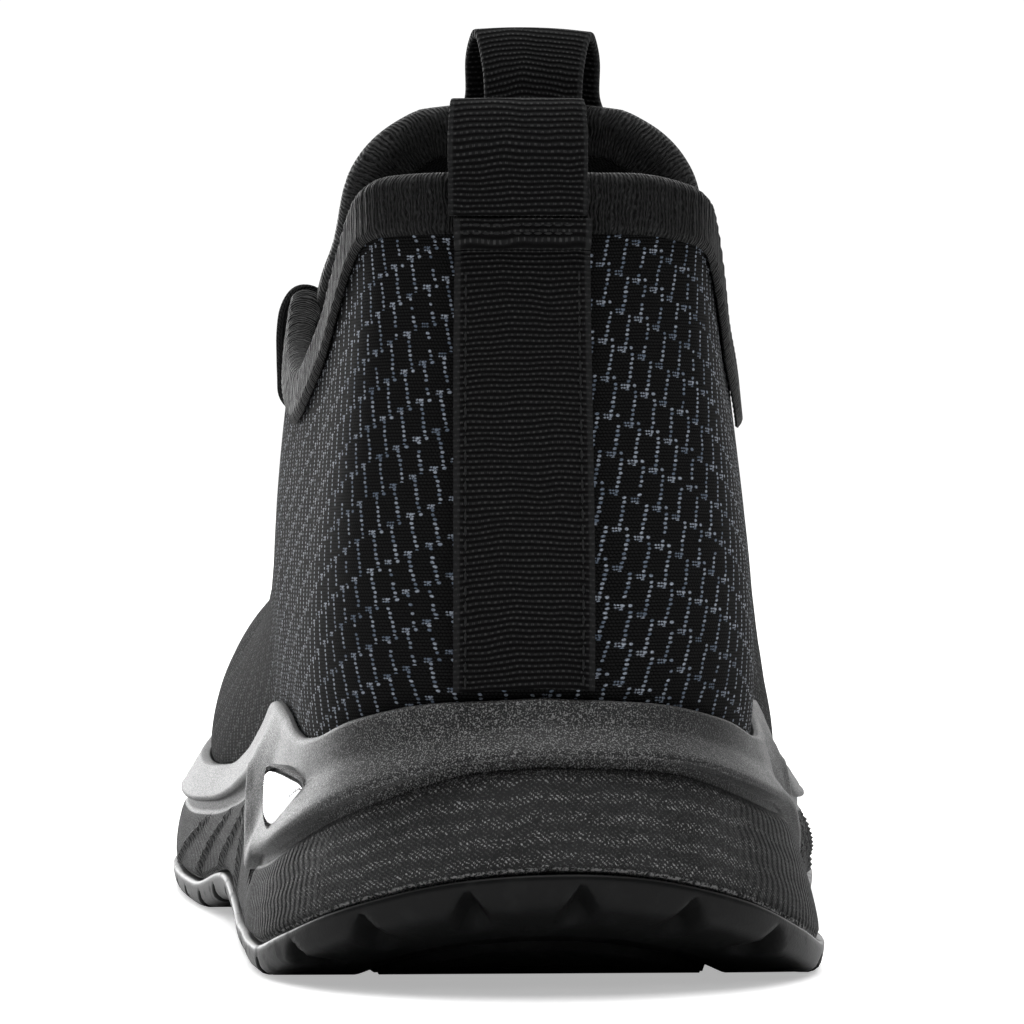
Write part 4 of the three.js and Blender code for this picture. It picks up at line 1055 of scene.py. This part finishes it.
def throat_row(at):
    inside = -WALL - 2 * GAP
    low = [one_skin(k * at, one_under(k * at, 13), inside) for k in (-1, 1)]
    edge = [one_skin(k * at, 1.0, inside) for k in (-1, 1)]
    crown = (edge[0] + edge[1]) / 2
    normal = unit(skin_normal([-at], [1.0])[0] + skin_normal([at], [1.0])[0])
    crown = crown + normal * 7.5 * np.sqrt(np.clip((THROAT - at) / (THROAT - CORNER), 0, 1))
    if at >= THROAT:
        return [low[0], low[0] * 0.4 + crown * 0.6, crown, low[1] * 0.4 + crown * 0.6, low[1]]
    return [low[0], edge[0], crown, edge[1], low[1]]


def free_row(edge, back, rise, crown_back, crown):
    a, b = (one_skin(k * CORNER, 1.0, -WALL - 2 * GAP) for k in (-1, 1))
    middle = (a + b) / 2 + (TONGUE_SLIDE * min(rise / 0.3, 1), 0, 0)
    half = TONGUE_HALF * edge

    def at(x, back, rise):
        return middle + (x, -back * TONGUE_HEIGHT, rise * TONGUE_HEIGHT)

    mid = (back * 2 + crown_back) / 3, (rise * 2 + crown) / 3
    return [at(-half, back, rise), at(-half * 0.78, *mid), at(0, crown_back, crown),
            at(half * 0.78, *mid), at(half, back, rise)]


def seven(points):
    left, near, crown, close, right = points
    lift = (crown - (near + close) / 2) * 0.24
    return [left, near, (near + crown) / 2 + lift, crown, (close + crown) / 2 + lift, close, right]


THROAT_ROWS = (0.69, 0.67, 0.645, 0.62, 0.585, 0.55, 0.515, 0.48, 0.445, 0.41)
rows = [throat_row(at) for at in THROAT_ROWS] + [free_row(*row) for row in zip(*TONGUE.values())]
CAGE = np.array([seven(row) for row in rows]).transpose(1, 0, 2)
rise_way, side_way = np.gradient(CAGE, axis=1), np.gradient(CAGE, axis=0)
CAGE_OUT = unit(np.cross(rise_way, side_way))
print("tongue cage:", CAGE.shape[:2])


def from_cage(net):
    """Places taken straight from a fine net"""
    across, along = len(net) - 1, len(net[0]) - 1
    return lambda u, v: net[np.rint(u * across).astype(int), np.rint(v * along).astype(int)]


def finer(net, times):
    """More rows and columns through a cage, by a smooth curve along each way"""
    for axis in (0, 1):
        net = np.moveaxis(net, axis, 0)
        n = len(net)
        at = np.linspace(0, n - 1, (n - 1) * times + 1)
        i = np.minimum(at.astype(int), n - 2)
        t = (at - i)[:, None, None]
        padded = np.concatenate([2 * net[:1] - net[1:2], net, 2 * net[-1:] - net[-2:-1]])
        a, b, c, d = (padded[i + k] for k in range(4))
        net = 0.5 * (2 * b + (c - a) * t + (2 * a - 5 * b + 4 * c - d) * t**2 + (3 * b - a - 3 * c + d) * t**3)
        net = np.moveaxis(net, 0, axis)
    return net


def round_corners(net, rows=9, share=0.16):
    """Narrows the last rows of a net, so that its upper corners become round"""
    middle, count = (len(net) - 1) / 2, len(net[0])
    net = net.copy()
    for r in range(count - rows, count):
        near = (r - count + 1 + rows) / rows
        keep = 1 - share * (1 - np.sqrt(1 - near**2))
        at = middle + (np.arange(len(net)) - middle) * keep
        net[:, r] = np.stack([np.interp(at, range(len(net)), net[:, r, k]) for k in range(3)], -1)
    return net


STEPS = 6
FINE, FINE_OUT = round_corners(finer(CAGE, STEPS)), unit(round_corners(unit(finer(CAGE_OUT, STEPS))))
bm = drape(len(FINE) - 1, len(FINE[0]) - 1, from_cage(FINE))
bmesh.ops.reverse_faces(bm, faces=bm.faces)
tongue = piece_of("tongue_mesh", bm, lining, ["tongue"])
thicken(tongue, TONGUE_THICK)

# %% [markdown]
# ## The edge of the tongue
#
# The free edge of the tongue is bound like the collar. Its section is swept along the outline of
# the cage, so it always fits the tongue.

# %% Ribbed edge of the tongue
first = len(THROAT_ROWS) * STEPS
last, wide = len(FINE[0]) - 1, len(FINE) - 1
route = [(0, r, 2 * STEPS, r) for r in range(first, last)]
route += [(c, last, c, last - STEPS) for c in range(0, wide + 1)]
route += [(wide, r, wide - 2 * STEPS, r) for r in range(last - 1, first - 1, -1)]
edge_line = np.array([FINE[c, r] for c, r, _, _ in route])
edge_out = np.array([FINE_OUT[c, r] for c, r, _, _ in route])
inward = np.array([FINE[c, r] for _, _, c, r in route]) - edge_line
tangent = np.gradient(edge_line, axis=0)
for _ in range(10):
    tangent[1:-1] = (tangent[:-2] + tangent[2:]) / 4 + tangent[1:-1] / 2
square = unit(np.cross(edge_out, tangent))
inward = square * np.sign(np.sum(square * inward, axis=-1, keepdims=True))
for _ in range(4):
    inward[1:-1] = unit(inward[:-2] + inward[2:] + inward[1:-1])


def tongue_edge_place(u, v):
    k = u * (len(route) - 1)
    edge, normal, inn = (np.stack([np.interp(k, range(len(route)), a[:, i]) for i in range(3)], -1)
                         for a in (edge_line, edge_out, inward))
    return folded(v, 5.0, 1.5, TONGUE_THICK, edge, edge + inn, unit(normal))


bm = drape(420, 26, tongue_edge_place, None, 0.3)
bmesh.ops.reverse_faces(bm, faces=bm.faces)
tongue_edge = piece_of("tongue_binding_satin", bm, satin, ["tongue_binding"])
thicken(tongue_edge, BIND_THICK)

# %% [markdown]
# ## Webbing
#
# The strap up the heel and both pull loops are grosgrain, a woven tape with ribs across it. Where
# the warp threads float over a rib they show as rows of small dots. The tape is a flat grid that is
# laid along its path, with a lighter line at its edges, where the weft turns round.

# %% Grosgrain
tape_group, w_in, w_out = new_group("grosgrain", dict.fromkeys(("Along", "Across", "Rib"), "Float"),
                                    ["Height", "Float"])
along, across = w_in["Along"], w_in["Across"]
bow = noise(vector_of(across * 0.08, along * 0.05), 1.0) * 2.4
phase = (along + bow) / w_in["Rib"]
ridge = swing(phase, 1.0)
odd_rib = floor_of(phase + 0.25) % 2.0
dots = swing(across / 0.86 + odd_rib * 0.5, 1.0)
floats = between(dots, 0.35, 0.8) * between(ridge, 0.55, 0.95)
fibre = noise(vector_of(across * 6.0, along * 1.2), 1.0)
plug(ridge * 0.7 + (floats * 0.25 + fibre * 0.2), w_out["Height"])
plug(floats * between(fibre, 0.35, 0.6), w_out["Float"])

tape, shader, uv = new_finish("grosgrain tape", Roughness=0.7, Specular_IOR_Level=0.03)
u, v, _ = parts_of(uv)
weave = use_group(tape_group, Along=v, Across=u, Rib=0.85)
tone = blend_colour(between(weave["Height"], 0.1, 0.9), grey(0.003), grey(0.014))
tone = blend_colour(weave["Float"] * 0.75, tone, grey(0.06, 1.0))
selvedge = between(abs(u), 8.9, 9.3)
dress(shader, Base_Color=blend_colour(selvedge * 0.5, tone, grey(0.03)))
relief(shader, weave["Height"], 0.32)

# %% Laying tape
WEB_WIDTH, WEB_THICK, OVER, STRAP_X = 19.7, 1.5, 1.2 + 2.5 * GAP, -2.3


def near_heel(x, up):
    """Signed place along the foot of a point near the heel, given by its distance sideways"""
    s = np.linspace(-0.12, 0.12, 241)
    line = skin(s, np.full_like(s, up))[:, 0]
    return float(np.interp(x, line, s))


def lay_tape(name, columns, node):
    """Tape through a few points along each of its five columns"""
    net = finer(np.array(columns), 8)
    bm = drape(len(net) - 1, len(net[0]) - 1, from_cage(net))
    bmesh.ops.solidify(bm, geom=bm.faces[:], thickness=-WEB_THICK * MM)
    piece = piece_of(name, bm, tape, [node], outward=True)
    edge = piece.modifiers.new("soft edge", "BEVEL")
    edge.width, edge.segments, edge.limit_method = 0.35 * MM, 2, "ANGLE"
    edge.angle_limit = radians(50)


def web_columns(shift):
    return [shift + k * WEB_WIDTH for k in (-0.5, -0.25, 0, 0.25, 0.5)]


def heel_place(x, up=None, below=0.0, distance=0.0):
    if up is None:
        s = near_heel(x, 0.95)
        up = one_under(s, below)
    else:
        s = near_heel(x, up)
    return one_skin(s, up, distance)


strap = []
for x in web_columns(STRAP_X):
    run = [heel_place(x, up, 0, 0.45) for up in (0.02, 0.14, 0.28, 0.42, 0.56, 0.7)]
    run += [heel_place(x, None, 10, 0.45), heel_place(x, None, 7.4, OVER), heel_place(x, None, 4.6, OVER)]
    strap.append(run)
lay_tape("heel_strap_tape", strap, "heel_strap")

# %% Pull loops
TEARDROP = 6.5


def over_edge(foot, edge, far_edge, far_foot, rise):
    """Tape up one face, round a teardrop and down the other face"""
    middle, half = (edge + far_edge) / 2, (edge - far_edge) / 2
    run = [foot, edge]
    for turn in (0.17, 0.34, 0.5, 0.66, 0.83):
        swell = 1 + (TEARDROP / (2 * np.linalg.norm(half)) - 1) * sin(pi * turn)
        run.append(middle + half * cos(pi * turn) * swell * 1.35 + (0, 0, rise * sin(pi * turn)))
    return run + [far_edge, far_foot]


loops = []
for x in web_columns(-3):
    place = {d: heel_place(x, 1.0, 0, d) + (0, 0, GAP) for d in (OVER, -WALL - OVER)}
    ends = [heel_place(x, None, 4.2, d) for d in (OVER, -WALL - OVER)]
    loops.append(over_edge(ends[0], place[OVER], place[-WALL - OVER], ends[1], 12.5 - WEB_THICK))
lay_tape("heel_pull_tape", loops, "heel_pull_loop")

reach_x = CAGE[5, -1, 0] - CAGE[1, -1, 0]
loops = []
for x in web_columns(3.8):
    share = (x - CAGE[1, -1, 0]) / reach_x * 4 + 1
    i, t = int(share), share - int(share)

    def on_tongue(row, distance):
        normal = unit(CAGE_OUT[i, row] * (1 - t) + CAGE_OUT[i + 1, row] * t)
        return CAGE[i, row] * (1 - t) + CAGE[i + 1, row] * t + normal * distance

    over = 0.9 + 1.2 + 2 * GAP
    front, back = over, -TONGUE_THICK - over
    ends = [(on_tongue(-1, d) + on_tongue(-2, d)) / 2 for d in (back, front)]
    tops = [on_tongue(-1, d) + (0, 0, over) for d in (back, front)]
    loops.append(over_edge(ends[0], tops[0], tops[1], ends[1], 13 - over))
lay_tape("tongue_pull_tape", loops, "tongue_pull_loop")

# %% [markdown]
# ## Eyestays
#
# A film is welded on the knit along both edges of the throat, to carry the eyelets. It is a patch
# of the same surface, lifted a little, with round edges.

# %% Film of the eyestays
film, shader, uv = new_finish("eyestay film", Roughness=0.5, Specular_IOR_Level=0.25)
grains = use_group(grain_group, Place=object_mm(shader), Pitch=0.5)["Height"]
dress(shader, Base_Color=blend_colour(grains, grey(0.018), grey(0.034)))
relief(shader, grains, 0.12)
EYELETS = np.linspace(CORNER + 0.03, THROAT - 0.065, 5)
EYELET_EDGE = 8.5


def stay_place(side):
    def place(s, v):
        along = CORNER + 0.002 + s * (THROAT - 0.02 - CORNER)
        sign = side * along
        low = under(sign, 15.5)
        up = low + (1 - low) * v
        rounded = np.clip(np.minimum(np.minimum(v, 1 - v) / 0.12, np.minimum(s, 1 - s) / 0.03), 0, 1)
        return off_skin(sign, up, 0.35 + 0.75 * np.sqrt(rounded))

    return place


for side, name in ((-1, "inner"), (1, "outer")):
    bm = drape(120, 26, stay_place(side), None, 0.5)
    if side < 0:
        bmesh.ops.reverse_faces(bm, faces=bm.faces)
    stay = piece_of(f"eyestay_film_{name}", bm, film, [f"eyestay_{name}"])
    thicken(stay, 0.7)

# %% [markdown]
# ## Eyelets
#
# Each hole is edged by a small punched ring: five circles of rising and falling height, joined by
# bridges, that stand on the film at each place.

# %% Eyelet rings
eyelet_black, shader, uv = new_finish("eyelet edge", Roughness=0.4, Specular_IOR_Level=0.2)
worn = noise(object_mm(shader), 0.8, 3.0)
dress(shader, Base_Color=blend_colour(worn, grey(0.012), grey(0.03)))
RING = ((2.1, 0.1), (2.25, 0.45), (2.7, 0.55), (3.15, 0.4), (3.3, 0.0))
FILM_TOP = 1.1


def stand_on(s, up, lift):
    """Matrix that stands a small piece on the upper"""
    point, normal = one_skin(s, up, lift), Vector(skin_normal([s], [up])[0])
    return Matrix.Translation(from_heel(*point)) @ normal.to_track_quat("Z", "Y").to_matrix().to_4x4()


bm = bmesh.new()
for s in (side * along for side in (-1, 1) for along in EYELETS):
    circles = []
    for radius, height in RING:
        turn = stand_on(s, one_under(s, EYELET_EDGE), FILM_TOP + height)
        ring = bmesh.ops.create_circle(bm, segments=28, radius=radius * MM, matrix=turn)["verts"]
        bm.edges.index_update()
        circles.append(sorted({e for v in ring for e in v.link_edges}, key=lambda e: e.index))
    for low, high in zip(circles, circles[1:]):
        bmesh.ops.bridge_loops(bm, edges=low + high)
smooth_all(bm)
eyelets = piece_of("eyelet_rings", bm, eyelet_black, outward=True)
thicken(eyelets, 0.25)

# %% [markdown]
# ## The lace
#
# The lace is a flat braid. It comes up through one eyelet, crosses the tongue and goes down through
# the next one on the other side. Each crossing is a strip that follows the knit and the tongue, with
# a slack loop left over at the inner top eyelet, and the other end tucked in.

# %% Braid
braid, shader, uv = new_finish("lace braid", Roughness=0.8, Specular_IOR_Level=0.06)
u, v, _ = parts_of(uv)
PLAIT = 1.1
plait = between(sine(u + v * 0.8, PLAIT) * sine(u - v * 0.8, PLAIT), -0.8, 0.8)
dress(shader, Base_Color=blend_colour(plait, grey(0.004), grey(0.02)))
relief(shader, plait, 0.25)

LACE_WIDTH, LACE_THICK = 5.5, 1.5


def lace_point(along, across):
    side, width = (-1 if across < 0 else 1), abs(across)
    lift = 1.2 + 0.9 + GAP * (3.3 + 7.3 * max(1.2 - width, 0))
    if width >= 0.6:
        up = one_under(side * along, EYELET_EDGE * (width - 0.6) / 0.4)
        sink = -3.2 * np.clip((width - 1.0) / 0.12, 0, 1)
        return one_skin(side * along, up, lift + sink), skin_normal([side * along], [up])[0]
    left_edge, right_edge = one_skin(-along, 1.0, lift), one_skin(along, 1.0, lift)
    normal = unit(skin_normal([-along], [1.0])[0] + skin_normal([along], [1.0])[0])
    middle = (left_edge + right_edge) / 2
    clear = np.dot(seven(throat_row(along))[3] - middle, normal) + 0.9 + 6 * GAP
    share = 0.5 + 0.5 * across / 0.6
    arch = normal * max(clear, 0) * (1 - (width / 0.6) ** 2)
    point = left_edge * (1 - share) + right_edge * share + arch
    return point, unit(normal * (1 - width) + skin_normal([side * along], [1.0])[0] * width)


def strip(points, outs, width, thick):
    """A flat strip along points, lying square to the given directions"""
    points, outs = np.array(points), np.array(outs)
    way = unit(np.gradient(points, axis=0))
    wide = unit(np.cross(way, outs))
    out = np.cross(wide, way)
    count = len(points)

    def place(u, v):
        k = np.rint(v * (count - 1)).astype(int)
        angle = u * 2 * pi
        flat_x = np.sign(np.cos(angle)) * abs(np.cos(angle)) ** 0.35 * width / 2
        flat_y = np.sign(np.sin(angle)) * abs(np.sin(angle)) ** 0.7 * thick / 2
        return points[k] + wide[k] * flat_x[:, None] + out[k] * flat_y[:, None]

    return drape(16, count - 1, place, None, 0.5)


def add_strip(bm, part):
    """Joins a strip to the others and closes its ends"""
    ends = [e for e in part.edges if e.is_boundary]
    bmesh.ops.holes_fill(part, edges=ends, sides=64)
    mesh = bpy.data.meshes.new("strip")
    part.to_mesh(mesh)
    part.free()
    bm.from_mesh(mesh)
    bpy.data.meshes.remove(mesh)


crossings = [(EYELETS[-1], EYELETS[-1], 0.0)]
for k in range(4):
    crossings += [(EYELETS[k], EYELETS[k + 1], 0.9), (EYELETS[k + 1], EYELETS[k], 0.0)]
bm = bmesh.new()
for start, end, hump in crossings:
    steps = np.linspace(-1.12, 1.12, 17)
    found = [lace_point(start + (end - start) * (a + 1) / 2, a) for a in steps]
    points = np.array([p for p, _ in found])
    outs = np.array([n for _, n in found])
    points += unit(outs) * (hump * np.exp(-((steps / 0.35) ** 2)))[:, None]
    points = finer(np.array([points, points]), 3)[0]
    outs = unit(finer(np.array([outs, outs]), 3)[0])
    add_strip(bm, strip(points, outs, LACE_WIDTH, LACE_THICK))

SLACK = ((-28.8, 104, 99.9), (-29.8, 103.6, 102.4), (-31.6, 103.2, 104.3), (-33.8, 103, 104.1),
         (-35.3, 103, 101.6), (-35.8, 103.1, 98), (-35.8, 103.3, 94.4), (-35.7, 103.6, 91),
         (-35.5, 104.2, 88.2), (-34.2, 105, 86.4))
slack = finer(np.array([SLACK, SLACK]), 6)[0]
add_strip(bm, strip(slack, np.tile([-0.55, 0.8, 0.1], (len(slack), 1)), 2.9, 1.8))
piece_of("flat_lace", bm, braid, ["lace"], outward=True)

# %% [markdown]
# ## The badge
#
# A small plain chrome plate is sunk in the fin of the inner flank. Its outline is a rounded triangle.
# A filled circle of vertices is moved onto the outline, extruded and stepped inwards, so that the
# edge catches the light. A foam seat fills the room behind it. The dark gap round the plate is
# painted shade: a sheet of black rubber under its edge.

# %% Badge
chrome, shader, uv = new_finish("polished chrome", Roughness=0.1, Metallic=1.0)
smear = noise(object_mm(shader), 0.35, 3.0)
dress(shader, Base_Color=blend_colour(smear, grey(0.84, 1.01), grey(0.95, 1.01)),
      Roughness=between(smear, 0.3, 0.8, 0.22, 0.34))
BADGE_LENGTH, BADGE_HEIGHT, BADGE_TURN = 14, 7.8, radians(22)
low, high = (np.array(c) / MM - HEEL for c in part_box("badge"))
middle = (low + high) / 2 + (2.3, -3.0, -1.1)
badge_out = np.array([-cos(BADGE_TURN), -sin(BADGE_TURN), 0.12])
badge_out /= np.linalg.norm(badge_out)
badge_way = unit(np.cross([0, 0, 1], badge_out))
badge_up = np.cross(badge_out, badge_way)
BADGE_LINE = ((-0.88, 0.98), (-0.5, 1), (0.35, 0.82), (0.88, 0.66), (1, 0.5), (0.88, 0.15), (0.6, -0.3),
              (0.1, -0.75), (-0.3, -0.98), (-0.65, -0.94), (-0.85, -0.6), (-0.95, 0), (-1, 0.6), (-0.97, 0.88))
print("badge middle:", middle.round(1))


def badge_matrix(lift):
    spot = from_heel(*(middle + badge_out * lift))
    turn = Matrix([badge_way, badge_up, badge_out]).transposed().to_4x4()
    return Matrix.Translation(spot) @ turn


def badge_plate(grow, lift):
    """Rounded triangle, filled, at a height over the seat"""
    bm = bmesh.new()
    line = through(np.array(BADGE_LINE) * (BADGE_LENGTH / 2 + grow, BADGE_HEIGHT / 2 + grow), 6)[::-1]
    circle = bmesh.ops.create_circle(bm, segments=len(line), radius=1, cap_ends=True)
    for vert, (x, y) in zip(circle["verts"], line):
        vert.co = (x * MM, y * MM, 0)
    bmesh.ops.transform(bm, matrix=badge_matrix(lift), verts=bm.verts)
    return bm


def raise_cap(bm, height, insets):
    """Extrudes a filled outline, then steps its cap inwards"""
    top = bmesh.ops.extrude_face_region(bm, geom=bm.faces[:])["geom"]
    raised = [g for g in top if isinstance(g, bmesh.types.BMVert)]
    bmesh.ops.translate(bm, verts=raised, vec=Vector(badge_out) * height * MM)
    bmesh.ops.recalc_face_normals(bm, faces=bm.faces)
    cap = max(bm.faces, key=lambda f: f.calc_center_median().dot(Vector(badge_out)))
    for thickness, depth in insets:
        bmesh.ops.inset_region(bm, faces=[cap], thickness=thickness * MM, depth=depth * MM)
    for face in bm.faces:
        face.smooth = len(face.verts) < 5


PLATE_LIFT = 2.7
bm = badge_plate(0, PLATE_LIFT - 1.6)
raise_cap(bm, 1.2, ((0.08, 0.1), (0.42, 0.34), (0.12, 0.03)))
piece_of("badge_plate", bm, chrome, ["badge"], outward=True)

# %% The seat of the badge, and a rubber sheet as painted shade in its gap
bm = badge_plate(1.15, PLATE_LIFT - 6.4)
raise_cap(bm, 5.6, ((0.15, 0.22), (0.2, 0.1), (0.15, 0.0), (0.1, -1.1)))
piece_of("badge_seat", bm, foam, outward=True)
# Painted shade: a black rubber sheet, a little wider than the plate, shows round it as the dark gap.
bm = badge_plate(0.62, PLATE_LIFT - 2.7)
raise_cap(bm, 1.3, ((0.1, 0.02),))
piece_of("badge_gap_shade", bm, rubber, outward=True)

# %% [markdown]
# ## The insole
#
# A loose foam sheet with a cloth face lies on the footbed. It turns up a little at its edge, where
# it meets the upper.

# %% Insole
SHEET_IN, SHEET_LIFT = -TUCK - WALL - 2 * GAP, 3.9
EDGE_SECTION = ((0.1, 0.6), (0.05, 2.2), (0.15, 3.8), (0.6, 4.35), (2.0, 4.2), (5.0, SHEET_LIFT))


def sheet(s, inward, lift):
    return beside(s, SHEET_IN - inward, bed_z(s) + GAP + lift)


INSOLE_ROWS = rows_of(lambda s, k: to_middle(sheet(s, 0.3, 0.05), k), (1, 0.5, 0))
INSOLE_ROWS += rows_of(lambda s, k: sheet(s, *k), EDGE_SECTION)
INSOLE_ROWS += rows_of(lambda s, k: to_middle(sheet(s, 5.0, SHEET_LIFT), k), (0.25, 0.5, 0.75, 1))
bm = drape(300, len(INSOLE_ROWS) - 1, in_rows(INSOLE_ROWS), ROUND, 0.5)
insole = piece_of("insole_sheet", bm, lining, ["insole"], outward=True)

# %% [markdown]
# ## Seams
#
# Thread shows as short raised dashes. One stitch is a small ball of a few faces, stretched between
# two points. The seams run along both edges of the heel strap and across the foot of the pull loop.

# %% Stitches
thread, shader, uv = new_finish("black thread", Roughness=0.6, Specular_IOR_Level=0.1)
twist = noise(object_mm(shader), 2.5)
dress(shader, Base_Color=blend_colour(twist, grey(0.008), grey(0.03)))
THREAD_RADIUS = 0.2


def stitch(bm, start, end, out):
    """A short thread between two points, bowed out of the cloth"""
    start, end = Vector(start) * MM, Vector(end) * MM
    length = (end - start).length
    turn = (end - start).to_track_quat("Z", "Y").to_matrix().to_4x4()
    shape = Matrix.Translation(Vector(HEEL * MM) + (start + end) / 2 + Vector(out) * 0.05 * MM) @ turn
    sphere = bmesh.ops.create_icosphere(bm, subdivisions=1, radius=1)
    size = Matrix.Diagonal((THREAD_RADIUS * MM, THREAD_RADIUS * MM, length * 0.52, 1))
    bmesh.ops.transform(bm, matrix=shape @ size, verts=sphere["verts"])


def seam_of(points, pitch=2.2, fill=0.72):
    """Start and end of each stitch along a line of points"""
    points = np.array(points)
    far = np.concatenate([[0], np.cumsum(np.linalg.norm(np.diff(points, axis=0), axis=1))])
    for at in np.arange(0, far[-1] - pitch, pitch):
        ends = [[np.interp(d, far, points[:, i]) for i in range(3)] for d in (at, at + pitch * fill)]
        yield np.array(ends[0]), np.array(ends[1])


bm = bmesh.new()
for shift in (-8.1, 8.1):
    line = [heel_place(STRAP_X + shift, up, 0, 0.45 + WEB_THICK) for up in np.linspace(0.03, 0.86, 24)]
    for a, b in seam_of(line):
        stitch(bm, a, b, skin_normal([0.0], [0.5])[0])
for row in (5.6, 6.9):
    line = [heel_place(x, None, row, OVER + WEB_THICK + 0.05) for x in np.linspace(-11, 6.2, 12)]
    for a, b in seam_of(line, 1.5, 0.8):
        stitch(bm, a, b, skin_normal([0.0], [0.9])[0])
smooth_all(bm)
piece_of("seam_threads", bm, thread)

# %% [markdown]
# ## Floor and light
#
# The shoe stands on a white sweep in white surroundings. A bright room behind it, and a soft light
# behind it on the left, give that flank its bright edge. A broad light above and a small one above
# the camera keep the black cloth readable. The camera sees the floor and the room as plain white.

# %% Floor
paper, shader, uv = new_finish("studio paper", Roughness=0.9, Base_Color=(0.93, 0.93, 0.93, 1),
                               Emission_Color=(1, 1, 1, 1))


def camera_ray(tree):
    """1 on the rays that come straight from the camera"""
    return Wire(tree.nodes.new("ShaderNodeLightPath").outputs["Is Camera Ray"])


dress(shader, Emission_Strength=camera_ray(shader.id_data) * 0.42)
bm = bmesh.new()
bmesh.ops.create_grid(bm, x_segments=2, y_segments=2, size=4)
mesh = bpy.data.meshes.new("floor")
bm.to_mesh(mesh)
bm.free()
mesh.materials.append(paper)
floor = bpy.data.objects.new("floor", mesh)
bpy.context.scene.collection.objects.link(floor)

# %% Room and lights
world = bpy.data.worlds.new("white room")
bpy.context.scene.world = world
world.use_nodes = True
x, y, z = parts_of(Wire(world.node_tree.nodes.new("ShaderNodeTexCoord").outputs["Generated"]))
room = between(y * 0.75 + z * 0.5 + x * -0.07, 0.1, 0.95, 0.02, 2.0)
seen = camera_ray(world.node_tree)
backdrop = world.node_tree.nodes["Background"].inputs
plug((1, 1, 1, 1), backdrop["Color"])
plug(room * (1.0 - seen) + seen * 1.05, backdrop["Strength"])
bpy.context.scene.view_settings.view_transform = "Standard"


def soft_light(name, place, aim, size, power):
    light = bpy.data.objects.new(name, bpy.data.lights.new(name, "AREA"))
    light.data.shape, light.data.size, light.data.energy = "SQUARE", size, power
    light.location = place
    light.rotation_euler = (Vector(aim) - Vector(place)).to_track_quat("-Z", "Y").to_euler()
    bpy.context.scene.collection.objects.link(light)


soft_light("left behind", (-1.0, 1.9, 0.4), (0, 0, 0.05), 1.0, 18)
soft_light("overhead", (0.05, -0.4, 1.7), (0, 0, 0), 1.5, 23)
soft_light("above front", (0.3, -1.6, 1.2), (0, 0, 0.06), 0.5, 2.2)

# %% Finish
print("pieces:", len(pieces))
